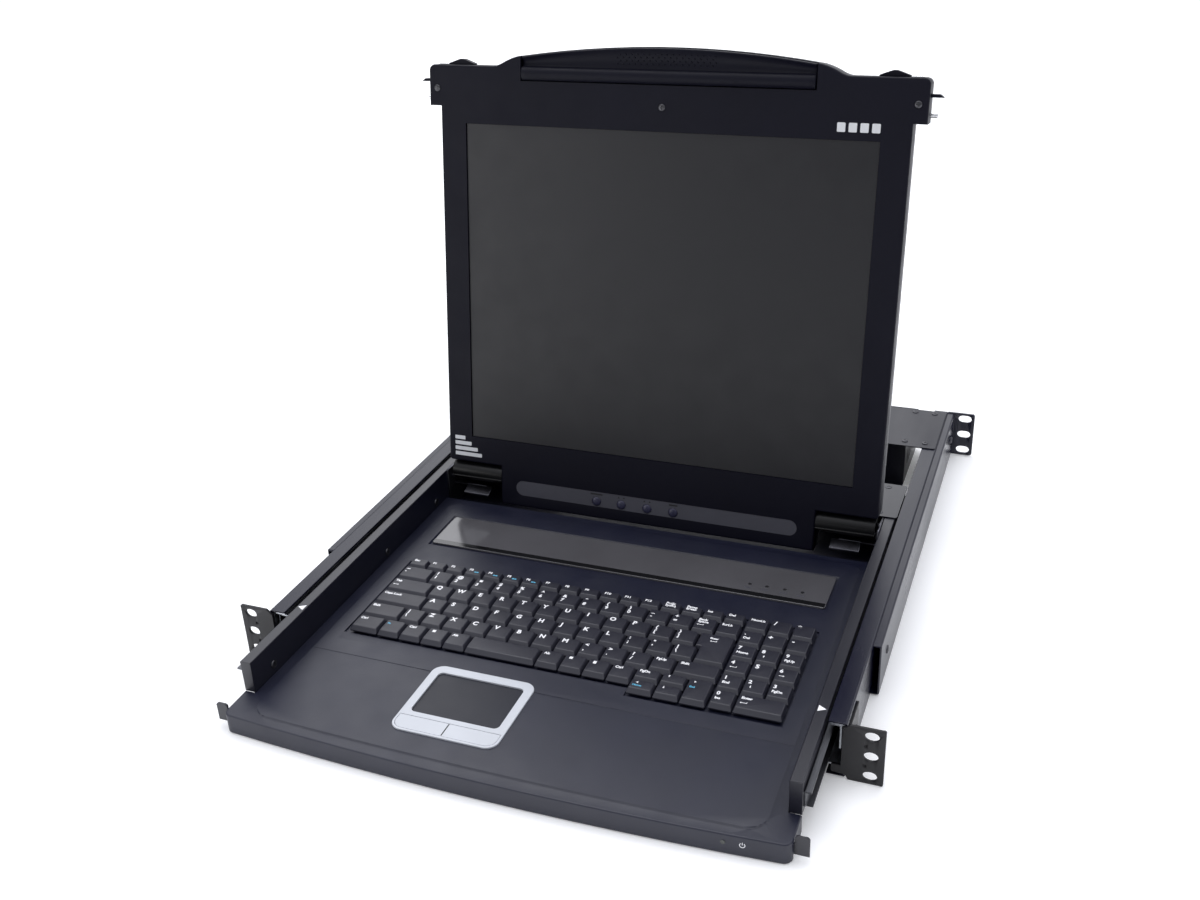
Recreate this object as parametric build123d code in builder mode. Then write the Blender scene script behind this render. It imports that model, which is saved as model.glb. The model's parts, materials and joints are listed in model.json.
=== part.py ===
from build123d import *
from math import cos, radians, sin, sqrt
import os

# Rack console drawer, 1U high: a 17 inch display, a keyboard and a touchpad on a sliding drawer,
# with the switch electronics in a fixed case behind it.
# Frame: +X right, +Y to the back of the rack, +Z up, millimetres. The origin is the centre of the
# front ears' hole pattern, on the ears' front face. Heights in this file count from the underside
# of the rails, and BASE puts them in the frame.

os.makedirs("parts", exist_ok=True)

# ---- driving dimensions ------------------------------------------------------------------
UNIT_H = 44.0                 # height of the ears, one rack unit less its clearance
BASE = -UNIT_H / 2
HOLE_HALF_SPAN = 232.55       # half of the 465.1 mm rack hole spacing
HOLE_PITCH = 15.875           # rack hole spacing up an ear
FRONT_SLOT_LENGTH, REAR_SLOT_LENGTH, SLOT_WIDTH = 9.5, 12.0, 7.0
EAR_HALF_SPAN = 241.3         # half of 482.6 mm
SHEET = 1.2                   # drawer and rail sheet steel
EAR_SHEET = 2.0

RAIL_INNER, RAIL_OUTER = 204.0, 216.5
RAIL_H = 43.0
RAIL_END = 486.0
BRACKET_START, BRACKET_OUTER = 92.0, 222.5
REAR_EAR_Y = 484.0

SLIDE_H = 24.5                # height of the ball slides' centreline
DRAWER_HALF = 193.1           # inner face of the drawer's side walls
WALL_OUTER = 201.7
WALL_H, WALL_START, WALL_END = 41.0, -57.8, 329.3
PAN_BOTTOM, PAN_TOP = 1.3, 2.5
REAR_COVER_FRONT = 272.8

LIP_CORNER_Y, LIP_CENTRE_Y = -85.5, -93.0
LIP_TOP, DECK_TOP = 15.7, 17.0
DECK_HALF, DECK_FRONT, DECK_BACK = 183.5, -79.8, 232.0
HOUSING_END = 241.0

WELL_HALF, WELL_FRONT, WELL_BACK = 171.0, 17.5, 132.6
BOARD_TOP, KEY_BOTTOM, KEY_TOP, KEY_GAP = 15.6, 18.0, 22.0, 0.9

HINGE_Y, HINGE_Z = 258.9, 34.8
LEAN = radians(8.75)          # lean of the open display behind the vertical
FACE, BACK = 9.5, -8.5        # display front and back faces, measured from the hinge axis
SPLIT = -0.5                  # where the bezel meets the back cover
DISPLAY_HALF = 191.4
WING_HALF, WING_BOTTOM, WING_TOP = 201.5, 321.5, 354.0
ARCH_HALF, ARCH_SHOULDER, ARCH_TOP = 122.0, 362.0, 371.0
SCREEN_W, SCREEN_H, SCREEN_BOTTOM = 337.9, 270.3, 38.0
TONGUE_HALF, TONGUE_BOTTOM, COLUMN_BOTTOM = 141.0, -21.5, 14.0

DISPLAY = Plane(
    origin=(0, HINGE_Y, BASE + HINGE_Z),
    x_dir=(1, 0, 0),
    z_dir=(0, -cos(LEAN), sin(LEAN)),
)
SIDES = ((-1, "left"), (1, "right"))


# ---- helpers -----------------------------------------------------------------------------
def finish(piece, name):
    """Label a finished sub-part and write its STEP file."""
    piece.part.label = name
    export_step(piece.part, f"parts/{name}.step")


def span(side, a, b):
    """The X range from a to b on one side of the centreline, low end first."""
    return tuple(sorted((side * a, side * b)))


def level(height):
    """Horizontal plane at a height above the underside of the rails."""
    return Plane.XY.offset(BASE + height)


def block(x, y, z, mode=Mode.ADD):
    """Box between (low, high) pairs, with z counted from the underside of the rails."""
    centre = ((x[0] + x[1]) / 2, (y[0] + y[1]) / 2, BASE + (z[0] + z[1]) / 2)
    with Locations(centre):
        Box(x[1] - x[0], y[1] - y[0], z[1] - z[0], mode=mode)


def slab(x, v, w, mode=Mode.ADD):
    """Box in the display's own frame: across, up the display, and out of its face."""
    with BuildSketch(DISPLAY.offset(w[0])) as outline:
        with Locations(((x[0] + x[1]) / 2, (v[0] + v[1]) / 2)):
            Rectangle(x[1] - x[0], v[1] - v[0])
    extrude(outline.sketch, amount=w[1] - w[0], mode=mode)


def rod(start, direction, radius, length, mode=Mode.ADD):
    """Round bar from a start point (height from the rails' underside) along a direction."""
    origin = (start[0], start[1], BASE + start[2])
    with BuildSketch(Plane(origin=origin, z_dir=direction)) as outline:
        Circle(radius)
    extrude(outline.sketch, amount=length, mode=mode)


def face_rod(x, v, w, radius, mode=Mode.ADD):
    """Round bar standing along the display's own normal, between w[0] and w[1]."""
    with BuildSketch(DISPLAY.offset(w[0])) as outline:
        with Locations((x, v)):
            Circle(radius)
    extrude(outline.sketch, amount=w[1] - w[0], mode=mode)


def channel(side, open_x, web_x, z, sheet, y, bend):
    """Bent C section along Y, its web at web_x and its mouth at open_x."""
    inner_web = web_x - sheet if web_x > open_x else web_x + sheet
    outline = [
        (open_x, z[0]), (web_x, z[0]), (web_x, z[1]), (open_x, z[1]),
        (open_x, z[1] - sheet), (inner_web, z[1] - sheet),
        (inner_web, z[0] + sheet), (open_x, z[0] + sheet),
    ]
    cut_plane = Plane(origin=(0, y[0], BASE), x_dir=(1, 0, 0), z_dir=(0, -1, 0))
    with BuildSketch(cut_plane) as section:
        with BuildLine():
            Polyline([(side * px, pz) for px, pz in outline], close=True)
        make_face()
        corners = [v for v in section.vertices() if abs(abs(v.X) - web_x) < 0.01]
        fillet(corners, bend)
    extrude(section.sketch, amount=-(y[1] - y[0]))


# ---- fixed frame: rails, ears, brackets, outer slides ---------------------------------------
EAR_NOTCH_H = 10.5            # the slides pass over this part of an ear
EAR_INNER, EAR_WEB = 207.4, 213.5
EAR_FLANGE_END, EAR_DENT_X = 34.0, 228.7

for side, tag in SIDES:
    with BuildPart() as rail:
        channel(side, RAIL_INNER, RAIL_OUTER, (0, RAIL_H), SHEET, (EAR_SHEET, RAIL_END), 1.4)
    finish(rail, f"{tag}_side_rail")

    ear_outline = [
        (EAR_WEB, UNIT_H - 4.5), (EAR_WEB + 5, UNIT_H), (EAR_HALF_SPAN, UNIT_H), (EAR_HALF_SPAN, 0),
        (218.6, 0), (216.6, 3.6),
        (EAR_INNER, 4.6), (EAR_INNER, EAR_NOTCH_H), (EAR_WEB, EAR_NOTCH_H),
    ]
    with BuildPart() as ear:
        with BuildSketch(Plane(origin=(0, 0, BASE), x_dir=(1, 0, 0), z_dir=(0, -1, 0))) as plate:
            with BuildLine():
                Polyline([(side * px, pz) for px, pz in ear_outline], close=True)
            make_face()
            outer = [v for v in plate.vertices() if abs(v.X) > EAR_HALF_SPAN - 0.1]
            fillet(outer, 1.5)
            for row in (-1, 0, 1):
                with Locations((side * HOLE_HALF_SPAN, UNIT_H / 2 + row * HOLE_PITCH)):
                    SlotOverall(FRONT_SLOT_LENGTH, SLOT_WIDTH, mode=Mode.SUBTRACT)
        extrude(amount=-EAR_SHEET)
        block(span(side, RAIL_OUTER, RAIL_OUTER + 1.6), (0.5, EAR_FLANGE_END), (5, 38))
        for row in (-0.5, 0.5):
            rod((side * EAR_DENT_X, 0.9, UNIT_H / 2 + row * HOLE_PITCH), (0, -1, 0), 1.25, 2, Mode.SUBTRACT)
    finish(ear, f"{tag}_front_ear")

    with BuildPart() as bracket:
        channel(side, RAIL_OUTER, BRACKET_OUTER, (0.6, 42.4), 1.5, (BRACKET_START, REAR_EAR_Y), 1.6)
        foot = bracket.edges().filter_by(Axis.X).group_by(Axis.Y)[0].sort_by(Axis.Z)[0]
        fillet(foot, 1.2)
        rear = Plane(origin=(0, REAR_EAR_Y, BASE), x_dir=(1, 0, 0), z_dir=(0, -1, 0))
        with BuildSketch(rear) as plate:
            with Locations((side * (RAIL_OUTER + EAR_HALF_SPAN) / 2, UNIT_H / 2)):
                Rectangle(EAR_HALF_SPAN - RAIL_OUTER, UNIT_H - 1.2)
            outer = [v for v in plate.vertices() if abs(v.X) > EAR_HALF_SPAN - 0.1]
            fillet(outer, 2.5)
            for row in (-1, 0, 1):
                with Locations((side * HOLE_HALF_SPAN, UNIT_H / 2 + row * HOLE_PITCH)):
                    SlotOverall(REAR_SLOT_LENGTH, SLOT_WIDTH, mode=Mode.SUBTRACT)
        extrude(amount=-EAR_SHEET)
    finish(bracket, f"{tag}_rear_bracket")

# ---- telescopic ball slides ------------------------------------------------------------------
SLIDE_MOUTH, INNER_MOUTH = 204.2, 206.6
OUTER_HALF_H, MIDDLE_HALF_H, INNER_HALF_H = 16.8, 13.6, 8.5
OUTER_WEB, MIDDLE_WEB = RAIL_OUTER - SHEET, 212.3
OUTER_SLIDE_Y = (3.0, 405.0)
MIDDLE_SLIDE_Y = (6.0, 358.0)
INNER_SLIDE_Y = (-56.0, 325.0)


def side_prism(side, x, points, mode=Mode.ADD):
    """Prism across the object between two X positions, its outline given as (y, height) points."""
    low, high = span(side, *x)
    with BuildSketch(Plane(origin=(low, 0, BASE), x_dir=(0, 1, 0), z_dir=(1, 0, 0))) as outline:
        with BuildLine() as edge:
            Polyline(points, close=True)
        make_face(edge.edges())
    extrude(outline.sketch, amount=high - low, mode=mode)


def nose_cut(side, x, front, bottom, length, height):
    """Sloping cut under the front end of a slide member."""
    points = [(front - 1, bottom - 1), (front + length, bottom - 1), (front - 1, bottom + height)]
    side_prism(side, x, points, Mode.SUBTRACT)


for side, tag in SIDES:
    with BuildPart() as outer_slide:
        channel(side, SLIDE_MOUTH, OUTER_WEB, (SLIDE_H - OUTER_HALF_H, SLIDE_H + OUTER_HALF_H),
                SHEET, OUTER_SLIDE_Y, 1.3)
    finish(outer_slide, f"{tag}_outer_slide")

    with BuildPart() as middle_slide:
        channel(side, SLIDE_MOUTH, MIDDLE_WEB, (SLIDE_H - MIDDLE_HALF_H, SLIDE_H + MIDDLE_HALF_H),
                SHEET, MIDDLE_SLIDE_Y, 1.3)
        nose_cut(side, (SLIDE_MOUTH - 1, MIDDLE_WEB + 1), MIDDLE_SLIDE_Y[0], SLIDE_H - MIDDLE_HALF_H, 16, 9)
    finish(middle_slide, f"{tag}_middle_slide")

    with BuildPart() as inner_slide:
        channel(side, INNER_MOUTH, WALL_OUTER, (SLIDE_H - INNER_HALF_H, SLIDE_H + INNER_HALF_H),
                SHEET, INNER_SLIDE_Y, 1.1)
        nose_cut(side, (WALL_OUTER - 1, INNER_MOUTH + 1), INNER_SLIDE_Y[0], SLIDE_H - INNER_HALF_H, 8, 6)
    finish(inner_slide, f"{tag}_inner_slide")

# ---- fixed switch case at the back -------------------------------------------------------------
CASE_HALF, CASE_Y, CASE_Z = 189.0, (409.0, 485.0), (0.0, RAIL_H)
APRON_FRONT, APRON_H = 300.0, 0.9
COVER_HALF, COVER_Y = 215.3, (402.0, 481.0)
PORT_PITCH, PORT_COUNT, FIRST_PORT_X = 34.0, 8, -166.0
PORT_H = 27.0
INLET_X, SWITCH_X, POWER_H = 168.0, 134.0, 22.0

with BuildPart() as case:
    block((-CASE_HALF, CASE_HALF), CASE_Y, CASE_Z)
    block(
        (-CASE_HALF + SHEET, CASE_HALF - SHEET),
        (CASE_Y[0] + SHEET, CASE_Y[1] - SHEET),
        (CASE_Z[0] + SHEET, CASE_Z[1] + 1),
        Mode.SUBTRACT,
    )
    block((-CASE_HALF, CASE_HALF), (APRON_FRONT, CASE_Y[0]), (0, APRON_H))
    for port in range(PORT_COUNT):
        x = FIRST_PORT_X + port * PORT_PITCH
        block((x - 9.5, x + 9.5), (CASE_Y[1] - 3, CASE_Y[1] + 1), (PORT_H - 5, PORT_H + 5), Mode.SUBTRACT)
    block((INLET_X - 14, INLET_X + 14), (CASE_Y[1] - 3, CASE_Y[1] + 1), (POWER_H - 10, POWER_H + 10),
          Mode.SUBTRACT)
    block((SWITCH_X - 7, SWITCH_X + 7), (CASE_Y[1] - 3, CASE_Y[1] + 1), (POWER_H - 10.5, POWER_H + 10.5),
          Mode.SUBTRACT)
    for side in (-1, 1):
        for slot in range(6):
            y = CASE_Y[0] + 16 + slot * 8
            block(span(side, CASE_HALF - 3, CASE_HALF + 1), (y, y + 3), (14, 32), Mode.SUBTRACT)
finish(case, "switch_case")

COVER_SCREWS = [
    (side * x, y) for side in (-1, 1) for x in (187.6, 205.5) for y in (411.0, 475.0)
] + [(0, 411.0), (0, 475.0)]
with BuildPart() as cover:
    with BuildSketch(level(RAIL_H)):
        with Locations((0, sum(COVER_Y) / 2)):
            Rectangle(2 * COVER_HALF, COVER_Y[1] - COVER_Y[0])
        with Locations(*COVER_SCREWS):
            Circle(1.6, mode=Mode.SUBTRACT)
    extrude(amount=UNIT_H - RAIL_H)
    fillet(cover.edges().filter_by(Axis.Z).group_by(Axis.X)[-1], 2)
    fillet(cover.edges().filter_by(Axis.Z).group_by(Axis.X)[0], 2)
finish(cover, "switch_cover")

with BuildPart() as frame_screws:
    for x, y in COVER_SCREWS:
        rod((x, y, UNIT_H), (0, 0, 1), 2.7, 0.6)
        rod((x, y, UNIT_H), (0, 0, -1), 1.5, UNIT_H - RAIL_H)
    for side in (-1, 1):
        for y in (12.0, 26.0):
            rod((side * (RAIL_OUTER + 1.6), y, 21.5), (side, 0, 0), 3.0, 1.0)
        for y in (120.0, 470.0):
            rod((side * BRACKET_OUTER, y, 21.5), (side, 0, 0), 3.2, 1.1)
finish(frame_screws, "frame_screws")

BOARD_Z = (8.0, 9.6)
with BuildPart() as board:
    block((-184, 90), (414, 476), BOARD_Z)
    for x, y, w, d in ((-120, 444, 28, 28), (-60, 440, 20, 20), (0, 446, 24, 24), (60, 438, 14, 20)):
        block((x, x + w), (y - d / 2, y + d / 2), (BOARD_Z[1], BOARD_Z[1] + 2.2))
    for port in range(PORT_COUNT):
        x = FIRST_PORT_X + port * PORT_PITCH
        block((x - 7, x + 7), (462, 474), (BOARD_Z[1], PORT_H - 6))
    for x in (-180, -45, 86):
        rod((x, 418, CASE_Z[0] + SHEET), (0, 0, 1), 3.0, BOARD_Z[0] - CASE_Z[0] - SHEET)
        rod((x, 455, CASE_Z[0] + SHEET), (0, 0, 1), 3.0, BOARD_Z[0] - CASE_Z[0] - SHEET)
finish(board, "switch_board")

with BuildPart() as supply:
    block((100, 184), (414, 455), (6, 8))
    block((108, 136), (420, 446), (8, 32))
    for x in (146, 162, 177):
        rod((x, 426, 8), (0, 0, 1), 5.5, 22)
    block((142, 180), (438, 452), (8, 24))
    for x in (104, 180):
        for y in (417, 452):
            rod((x, y, CASE_Z[0] + SHEET), (0, 0, 1), 2.5, 6 - CASE_Z[0] - SHEET)
finish(supply, "power_supply")

with BuildPart() as ports:
    for port in range(PORT_COUNT):
        x = FIRST_PORT_X + port * PORT_PITCH
        block((x - 15.4, x + 15.4), (CASE_Y[1], CASE_Y[1] + 0.9), (PORT_H - 6.2, PORT_H + 6.2))
        with BuildSketch(Plane(origin=(x, CASE_Y[1] - 10, BASE + PORT_H), x_dir=(-1, 0, 0), z_dir=(0, 1, 0))):
            Trapezoid(16.6, 8.6, 80)
        extrude(amount=15.5)
        for dx in (-12.5, 12.5):
            with BuildSketch(Plane(origin=(x + dx, CASE_Y[1], BASE + PORT_H), z_dir=(0, 1, 0))):
                RegularPolygon(2.9, 6)
            extrude(amount=5.6)
finish(ports, "computer_ports")

with BuildPart() as inlet:
    block((INLET_X - 13.7, INLET_X + 13.7), (CASE_Y[1] - 20, CASE_Y[1]), (POWER_H - 9.7, POWER_H + 9.7))
    block((INLET_X - 18, INLET_X + 18), (CASE_Y[1], CASE_Y[1] + 2.4), (POWER_H - 11.5, POWER_H + 11.5))
    block((INLET_X - 11.8, INLET_X + 11.8), (CASE_Y[1] - 14, CASE_Y[1] + 3), (POWER_H - 7.8, POWER_H + 7.8),
          Mode.SUBTRACT)
    for dx, dz in ((-7, -2), (0, 3), (7, -2)):
        block((INLET_X + dx - 1, INLET_X + dx + 1), (CASE_Y[1] - 15, CASE_Y[1] - 4),
              (POWER_H + dz - 2, POWER_H + dz + 2))
finish(inlet, "power_inlet")

with BuildPart() as rocker:
    side_plane = Plane(origin=(SWITCH_X - 5.6, CASE_Y[1] - 9, BASE + POWER_H), x_dir=(0, 1, 0), z_dir=(1, 0, 0))
    with BuildSketch(side_plane):
        with BuildLine():
            Polyline([(0, -8.4), (8.2, -8.8), (10.2, 0), (13.0, 8.4), (0, 8.4)], close=True)
        make_face()
    extrude(amount=11.2)
    fillet(rocker.edges().filter_by(Axis.X).sort_by(Axis.Y)[-3:], 0.8)
finish(rocker, "power_switch")

# ---- drawer sheet metal ------------------------------------------------------------------------
TAB_Y, TAB_Z = (-79.0, -77.5), (3.7, 18.4)
TAB_HALF = 211.3

with BuildPart() as pan:
    block((-DRAWER_HALF, DRAWER_HALF), (TAB_Y[0], WALL_END), (PAN_BOTTOM, PAN_TOP))
    block((-DRAWER_HALF, DRAWER_HALF), (WALL_END - SHEET, WALL_END), (PAN_TOP, WALL_H))
    block((-120, 120), (WALL_END - SHEET - 1, WALL_END + 1), (14, 32), Mode.SUBTRACT)
    block((-TAB_HALF, TAB_HALF), TAB_Y, (TAB_Z[0], 12))
    block((-DRAWER_HALF, DRAWER_HALF), TAB_Y, (PAN_TOP, TAB_Z[0]))
    for side in (-1, 1):
        with BuildSketch(Plane(origin=(0, TAB_Y[1], BASE), x_dir=(1, 0, 0), z_dir=(0, -1, 0))):
            with Locations((side * (202.1 + TAB_HALF) / 2, sum(TAB_Z) / 2)):
                RectangleRounded(TAB_HALF - 202.1, TAB_Z[1] - TAB_Z[0], 2.5)
        extrude(amount=TAB_Y[1] - TAB_Y[0])
finish(pan, "base_pan")

for side, tag in SIDES:
    wall_x = span(side, DRAWER_HALF, WALL_OUTER)
    with BuildPart() as wall:
        block(span(side, DRAWER_HALF, DRAWER_HALF + SHEET), (WALL_START, WALL_END), (PAN_BOTTOM, WALL_H))
        block(wall_x, (WALL_START, WALL_END), (WALL_H - SHEET, WALL_H))
        block(span(side, WALL_OUTER - SHEET, WALL_OUTER), (WALL_START, WALL_END), (15.5, WALL_H))
        block(wall_x, (WALL_START, WALL_START + SHEET), (15.5, WALL_H))
        top = wall.edges().filter_by(Axis.Y).group_by(Axis.Z)[-1]
        fillet([top.sort_by(Axis.X)[0], top.sort_by(Axis.X)[-1]], 0.9)
    finish(wall, f"{tag}_side_wall")

COVER_NOTCH, COVER_NOTCH_Y = 143.0, 285.0
DRAWER_COVER_TOP = 42.2
with BuildPart() as rear_cover:
    block((-203, 203), (REAR_COVER_FRONT, WALL_END), (WALL_H, DRAWER_COVER_TOP))
    block((-COVER_NOTCH, COVER_NOTCH), (REAR_COVER_FRONT - 1, COVER_NOTCH_Y), (WALL_H - 1, 50), Mode.SUBTRACT)
    fillet(rear_cover.edges().filter_by(Axis.Z).group_by(Axis.X)[0], 2)
    fillet(rear_cover.edges().filter_by(Axis.Z).group_by(Axis.X)[-1], 2)
    for side in (-1, 1):
        for y in (279.0, 323.5):
            rod((side * 188, y, DRAWER_COVER_TOP - 2), (0, 0, 1), 1.6, 4, Mode.SUBTRACT)
finish(rear_cover, "rear_cover_plate")

with BuildPart() as drawer_screws:
    for side in (-1, 1):
        for y in (279.0, 323.5):
            rod((side * 188, y, DRAWER_COVER_TOP), (0, 0, 1), 2.8, 0.6)
            rod((side * 188, y, DRAWER_COVER_TOP), (0, 0, -1), 1.5, 2.4)
        for y, z in ((-33.0, 23.0), (134.0, 21.0), (222.0, 21.0)):
            rod((side * DRAWER_HALF, y, z), (-side, 0, 0), 3.3, 0.8)
finish(drawer_screws, "drawer_screws")

BRACKET_X = (191.7, DRAWER_HALF)
PIN_R, BORE_R, BARREL_R, COVER_R = 3.0, 3.06, 6.0, 9.3
with BuildPart() as hinge_brackets:
    for side in (-1, 1):
        block(span(side, *BRACKET_X), (246, 272), (PAN_TOP, 41.4))
        block(span(side, 160, BRACKET_X[1]), (256.5, 259), (22.8, 24.6))
        side_prism(side, (154, 178), [(247, 19.4), (257, 23.0), (257, 24.6), (247, 21.0)])
        rod((side * 189.6, HINGE_Y, HINGE_Z), (side, 0, 0), 7.0, BRACKET_X[0] - 189.6)
        rod((side * 189.0, HINGE_Y, HINGE_Z), (side, 0, 0), PIN_R, 5, Mode.SUBTRACT)
finish(hinge_brackets, "hinge_brackets")

with BuildPart() as hinge_pins:
    for side in (-1, 1):
        rod((side * 165, HINGE_Y, HINGE_Z), (side, 0, 0), PIN_R, DRAWER_HALF - 165)
finish(hinge_pins, "hinge_pins")

with BuildPart() as control_board:
    block((-118, 118), (290, 322), (8.0, 9.6))
    for x, w in ((-90, 22), (-30, 30), (40, 16)):
        block((x, x + w), (297, 315), (9.6, 12.0))
    for x in (-112, 0, 112):
        rod((x, 306, PAN_TOP), (0, 0, 1), 3, 8.0 - PAN_TOP)
finish(control_board, "control_board")

# ---- keyboard housing -----------------------------------------------------------------------------
HOUSING_HALF = DRAWER_HALF - 0.3
HOUSING_WALL = 2.2
LIP_BACK = WALL_START - 0.3
WINDOW_HALF, WINDOW_Y, WINDOW_THICK = 168.0, (165.0, 209.5), 1.6
PAD_X, PAD_Y, PAD_R = (-82.5, -2.5), (-64.3, 9.2), 9.0
PAD_WINDOW_X, PAD_WINDOW_Y = (-76.0, -9.0), (-44.5, 1.5)
BUTTON_BACK, BUTTON_SPLIT = -48.8, -42.8
LED_X, LED_Z = 160.2, 9.4


def lip_outline(inset):
    """Plan outline of the whole moulding, drawn in by an inset."""
    half = WALL_OUTER - inset
    inner = HOUSING_HALF - inset
    with BuildLine() as edge:
        ThreePointArc((-half, LIP_CORNER_Y + inset), (0, LIP_CENTRE_Y + inset), (half, LIP_CORNER_Y + inset))
        Polyline(
            (half, LIP_CORNER_Y + inset), (half, LIP_BACK - inset), (inner, LIP_BACK - inset),
            (inner, HOUSING_END - inset), (-inner, HOUSING_END - inset), (-inner, LIP_BACK - inset),
            (-half, LIP_BACK - inset), (-half, LIP_CORNER_Y + inset),
        )
    make_face(edge.edges())


def pad_outline(inset):
    """Rounded plan outline of the touchpad, drawn in by an inset."""
    with Locations(((PAD_X[0] + PAD_X[1]) / 2, (PAD_Y[0] + PAD_Y[1]) / 2)):
        RectangleRounded(PAD_X[1] - PAD_X[0] - 2 * inset, PAD_Y[1] - PAD_Y[0] - 2 * inset, PAD_R - inset)


with BuildPart() as housing:
    with BuildSketch(level(PAN_TOP)):
        lip_outline(0)
    extrude(amount=LIP_TOP - PAN_TOP)
    with BuildSketch(level(0.8)):
        lip_outline(0)
        with Locations((0, (TAB_Y[0] - 0.3 + 300) / 2)):
            Rectangle(500, 300 - TAB_Y[0] + 0.3, mode=Mode.SUBTRACT)
    extrude(amount=PAN_TOP - 0.8)
    with BuildSketch(level(LIP_TOP)) as deck:
        with BuildLine():
            ThreePointArc((-DECK_HALF, DECK_FRONT), (0, DECK_FRONT - 4.2), (DECK_HALF, DECK_FRONT))
            Polyline((DECK_HALF, DECK_FRONT), (DECK_HALF, DECK_BACK), (-DECK_HALF, DECK_BACK),
                     (-DECK_HALF, DECK_FRONT))
        make_face()
        fillet(deck.vertices().group_by(Axis.Y)[0], 14)
        fillet(deck.vertices().group_by(Axis.Y)[-1], 6)
    extrude(amount=DECK_TOP - LIP_TOP, taper=25)
    rim = [e for e in housing.edges().filter_by(Axis.Z) if e.center().Y < LIP_CORNER_Y + 1 and e.length > 5]
    fillet(rim, 6)
    rim = [e for e in housing.edges() if e.center().Y < LIP_CORNER_Y and abs(e.center().Z - BASE - LIP_TOP) < 0.1]
    fillet(rim, 1.2)
    with BuildSketch(level(0)):
        lip_outline(HOUSING_WALL)
    extrude(amount=LIP_TOP - HOUSING_WALL, mode=Mode.SUBTRACT)
    block((-WALL_OUTER - 1, WALL_OUTER + 1), (TAB_Y[0] - 0.3, TAB_Y[1] + 0.3), (0, 12.3), Mode.SUBTRACT)
    block((-WELL_HALF, WELL_HALF), (WELL_FRONT, WELL_BACK), (10, 20), Mode.SUBTRACT)
    block((-WINDOW_HALF - 2, WINDOW_HALF + 2), (161, 211), (DECK_TOP - WINDOW_THICK, 20), Mode.SUBTRACT)
    block((-WINDOW_HALF + 4, WINDOW_HALF - 4), (170, 205), (10, 20), Mode.SUBTRACT)
    with BuildSketch(level(10)):
        pad_outline(1.4)
    extrude(amount=10, mode=Mode.SUBTRACT)
    block((-DECK_HALF + 1, DECK_HALF - 1), (1.2, 2.0), (DECK_TOP - 0.4, 20), Mode.SUBTRACT)
    rod((LED_X, -70, LED_Z), (0, -1, 0), 1.6, 30, Mode.SUBTRACT)
finish(housing, "keyboard_housing")

with BuildPart() as led:
    rod((LED_X, TAB_Y[0], LED_Z), (0, -1, 0), 2.5, 6.2)
    rod((LED_X, TAB_Y[0] - 6.2, LED_Z), (0, -1, 0), 1.55, 3.3)
finish(led, "power_led")

with BuildPart() as window:
    block((-WINDOW_HALF, WINDOW_HALF), WINDOW_Y, (DECK_TOP - WINDOW_THICK, DECK_TOP))
    fillet(window.edges().filter_by(Axis.Z), 2)
finish(window, "indicator_window")

LAMP_X, LAMP_Y = (105.3, 118.9, 133.3, 147.2), 180.8
with BuildPart() as indicator_board:
    block((-160, 160), (172, 203), (11.0, 12.6))
    for x in LAMP_X:
        rod((x, LAMP_Y, 12.6), (0, 0, 1), 1.5, 2.6)
    for x in (-152, 0, 152):
        rod((x, 198, PAN_TOP), (0, 0, 1), 3.0, 11.0 - PAN_TOP)
finish(indicator_board, "indicator_board")

BEZEL_TOP = 18.2
with BuildPart() as touch_bezel:
    with BuildSketch(level(DECK_TOP)):
        pad_outline(0)
        with Locations((sum(PAD_WINDOW_X) / 2, sum(PAD_WINDOW_Y) / 2)):
            RectangleRounded(
                PAD_WINDOW_X[1] - PAD_WINDOW_X[0], PAD_WINDOW_Y[1] - PAD_WINDOW_Y[0], 4, mode=Mode.SUBTRACT
            )
    extrude(amount=BEZEL_TOP - DECK_TOP)
    fillet(touch_bezel.faces().sort_by(Axis.Z)[-1].outer_wire().edges(), 0.5)
    with BuildSketch(level(10)):
        pad_outline(1.7)
        with Locations((0, BUTTON_BACK + 50)):
            Rectangle(400, 100, mode=Mode.SUBTRACT)
    extrude(amount=10, mode=Mode.SUBTRACT)
finish(touch_bezel, "touchpad_bezel")

with BuildPart() as touch_surface:
    block((PAD_WINDOW_X[0] - 2, PAD_WINDOW_X[1] + 2), (PAD_WINDOW_Y[0] - 2, PAD_WINDOW_Y[1] + 2),
          (15.4, DECK_TOP))
finish(touch_surface, "touchpad_surface")

TOUCH_BUTTONS = (
    ("left_touch_button", -200.0, BUTTON_SPLIT - 0.15),
    ("right_touch_button", BUTTON_SPLIT + 0.15, 200.0),
)
for name, x0, x1 in TOUCH_BUTTONS:
    with BuildPart() as touch_button:
        for bottom, top, inset in ((14.2, DECK_TOP - 0.4, 2.6), (DECK_TOP - 0.4, BEZEL_TOP, 2.0)):
            with BuildSketch(level(bottom)):
                pad_outline(inset)
                with Locations(((x0 + x1) / 2, BUTTON_BACK - 0.3 - 50)):
                    Rectangle(x1 - x0, 100, mode=Mode.INTERSECT)
            extrude(amount=top - bottom)
    finish(touch_button, name)

# ---- keys: (left, right, front, back) of every key's pitch cell --------------------------------------
KEY_LEFT, KEY_RIGHT = -167.0, 116.7
ROW_FRONT = {"function": 118.7, "number": 100.4, "upper": 82.1, "home": 63.8, "lower": 45.5, "bottom": 27.2}
ROW_BACK = {"function": 131.0, "number": 118.7, "upper": 100.4, "home": 82.1, "lower": 63.8, "bottom": 45.5}
UNIT = 18.3
FUNCTION_COUNT = 17
ARROW_FRONT, ARROW_SPLIT = 18.7, 32.0
PAD_LEFT, PAD_PITCH_X, PAD_PITCH_Y, PAD_FRONT = 117.5, 17.6, 18.5, 20.0


def row_cells(row, edges):
    """Cells of one row, given the X of the boundaries between its keys."""
    return [(a, b, ROW_FRONT[row], ROW_BACK[row]) for a, b in zip(edges, edges[1:])]


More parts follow.
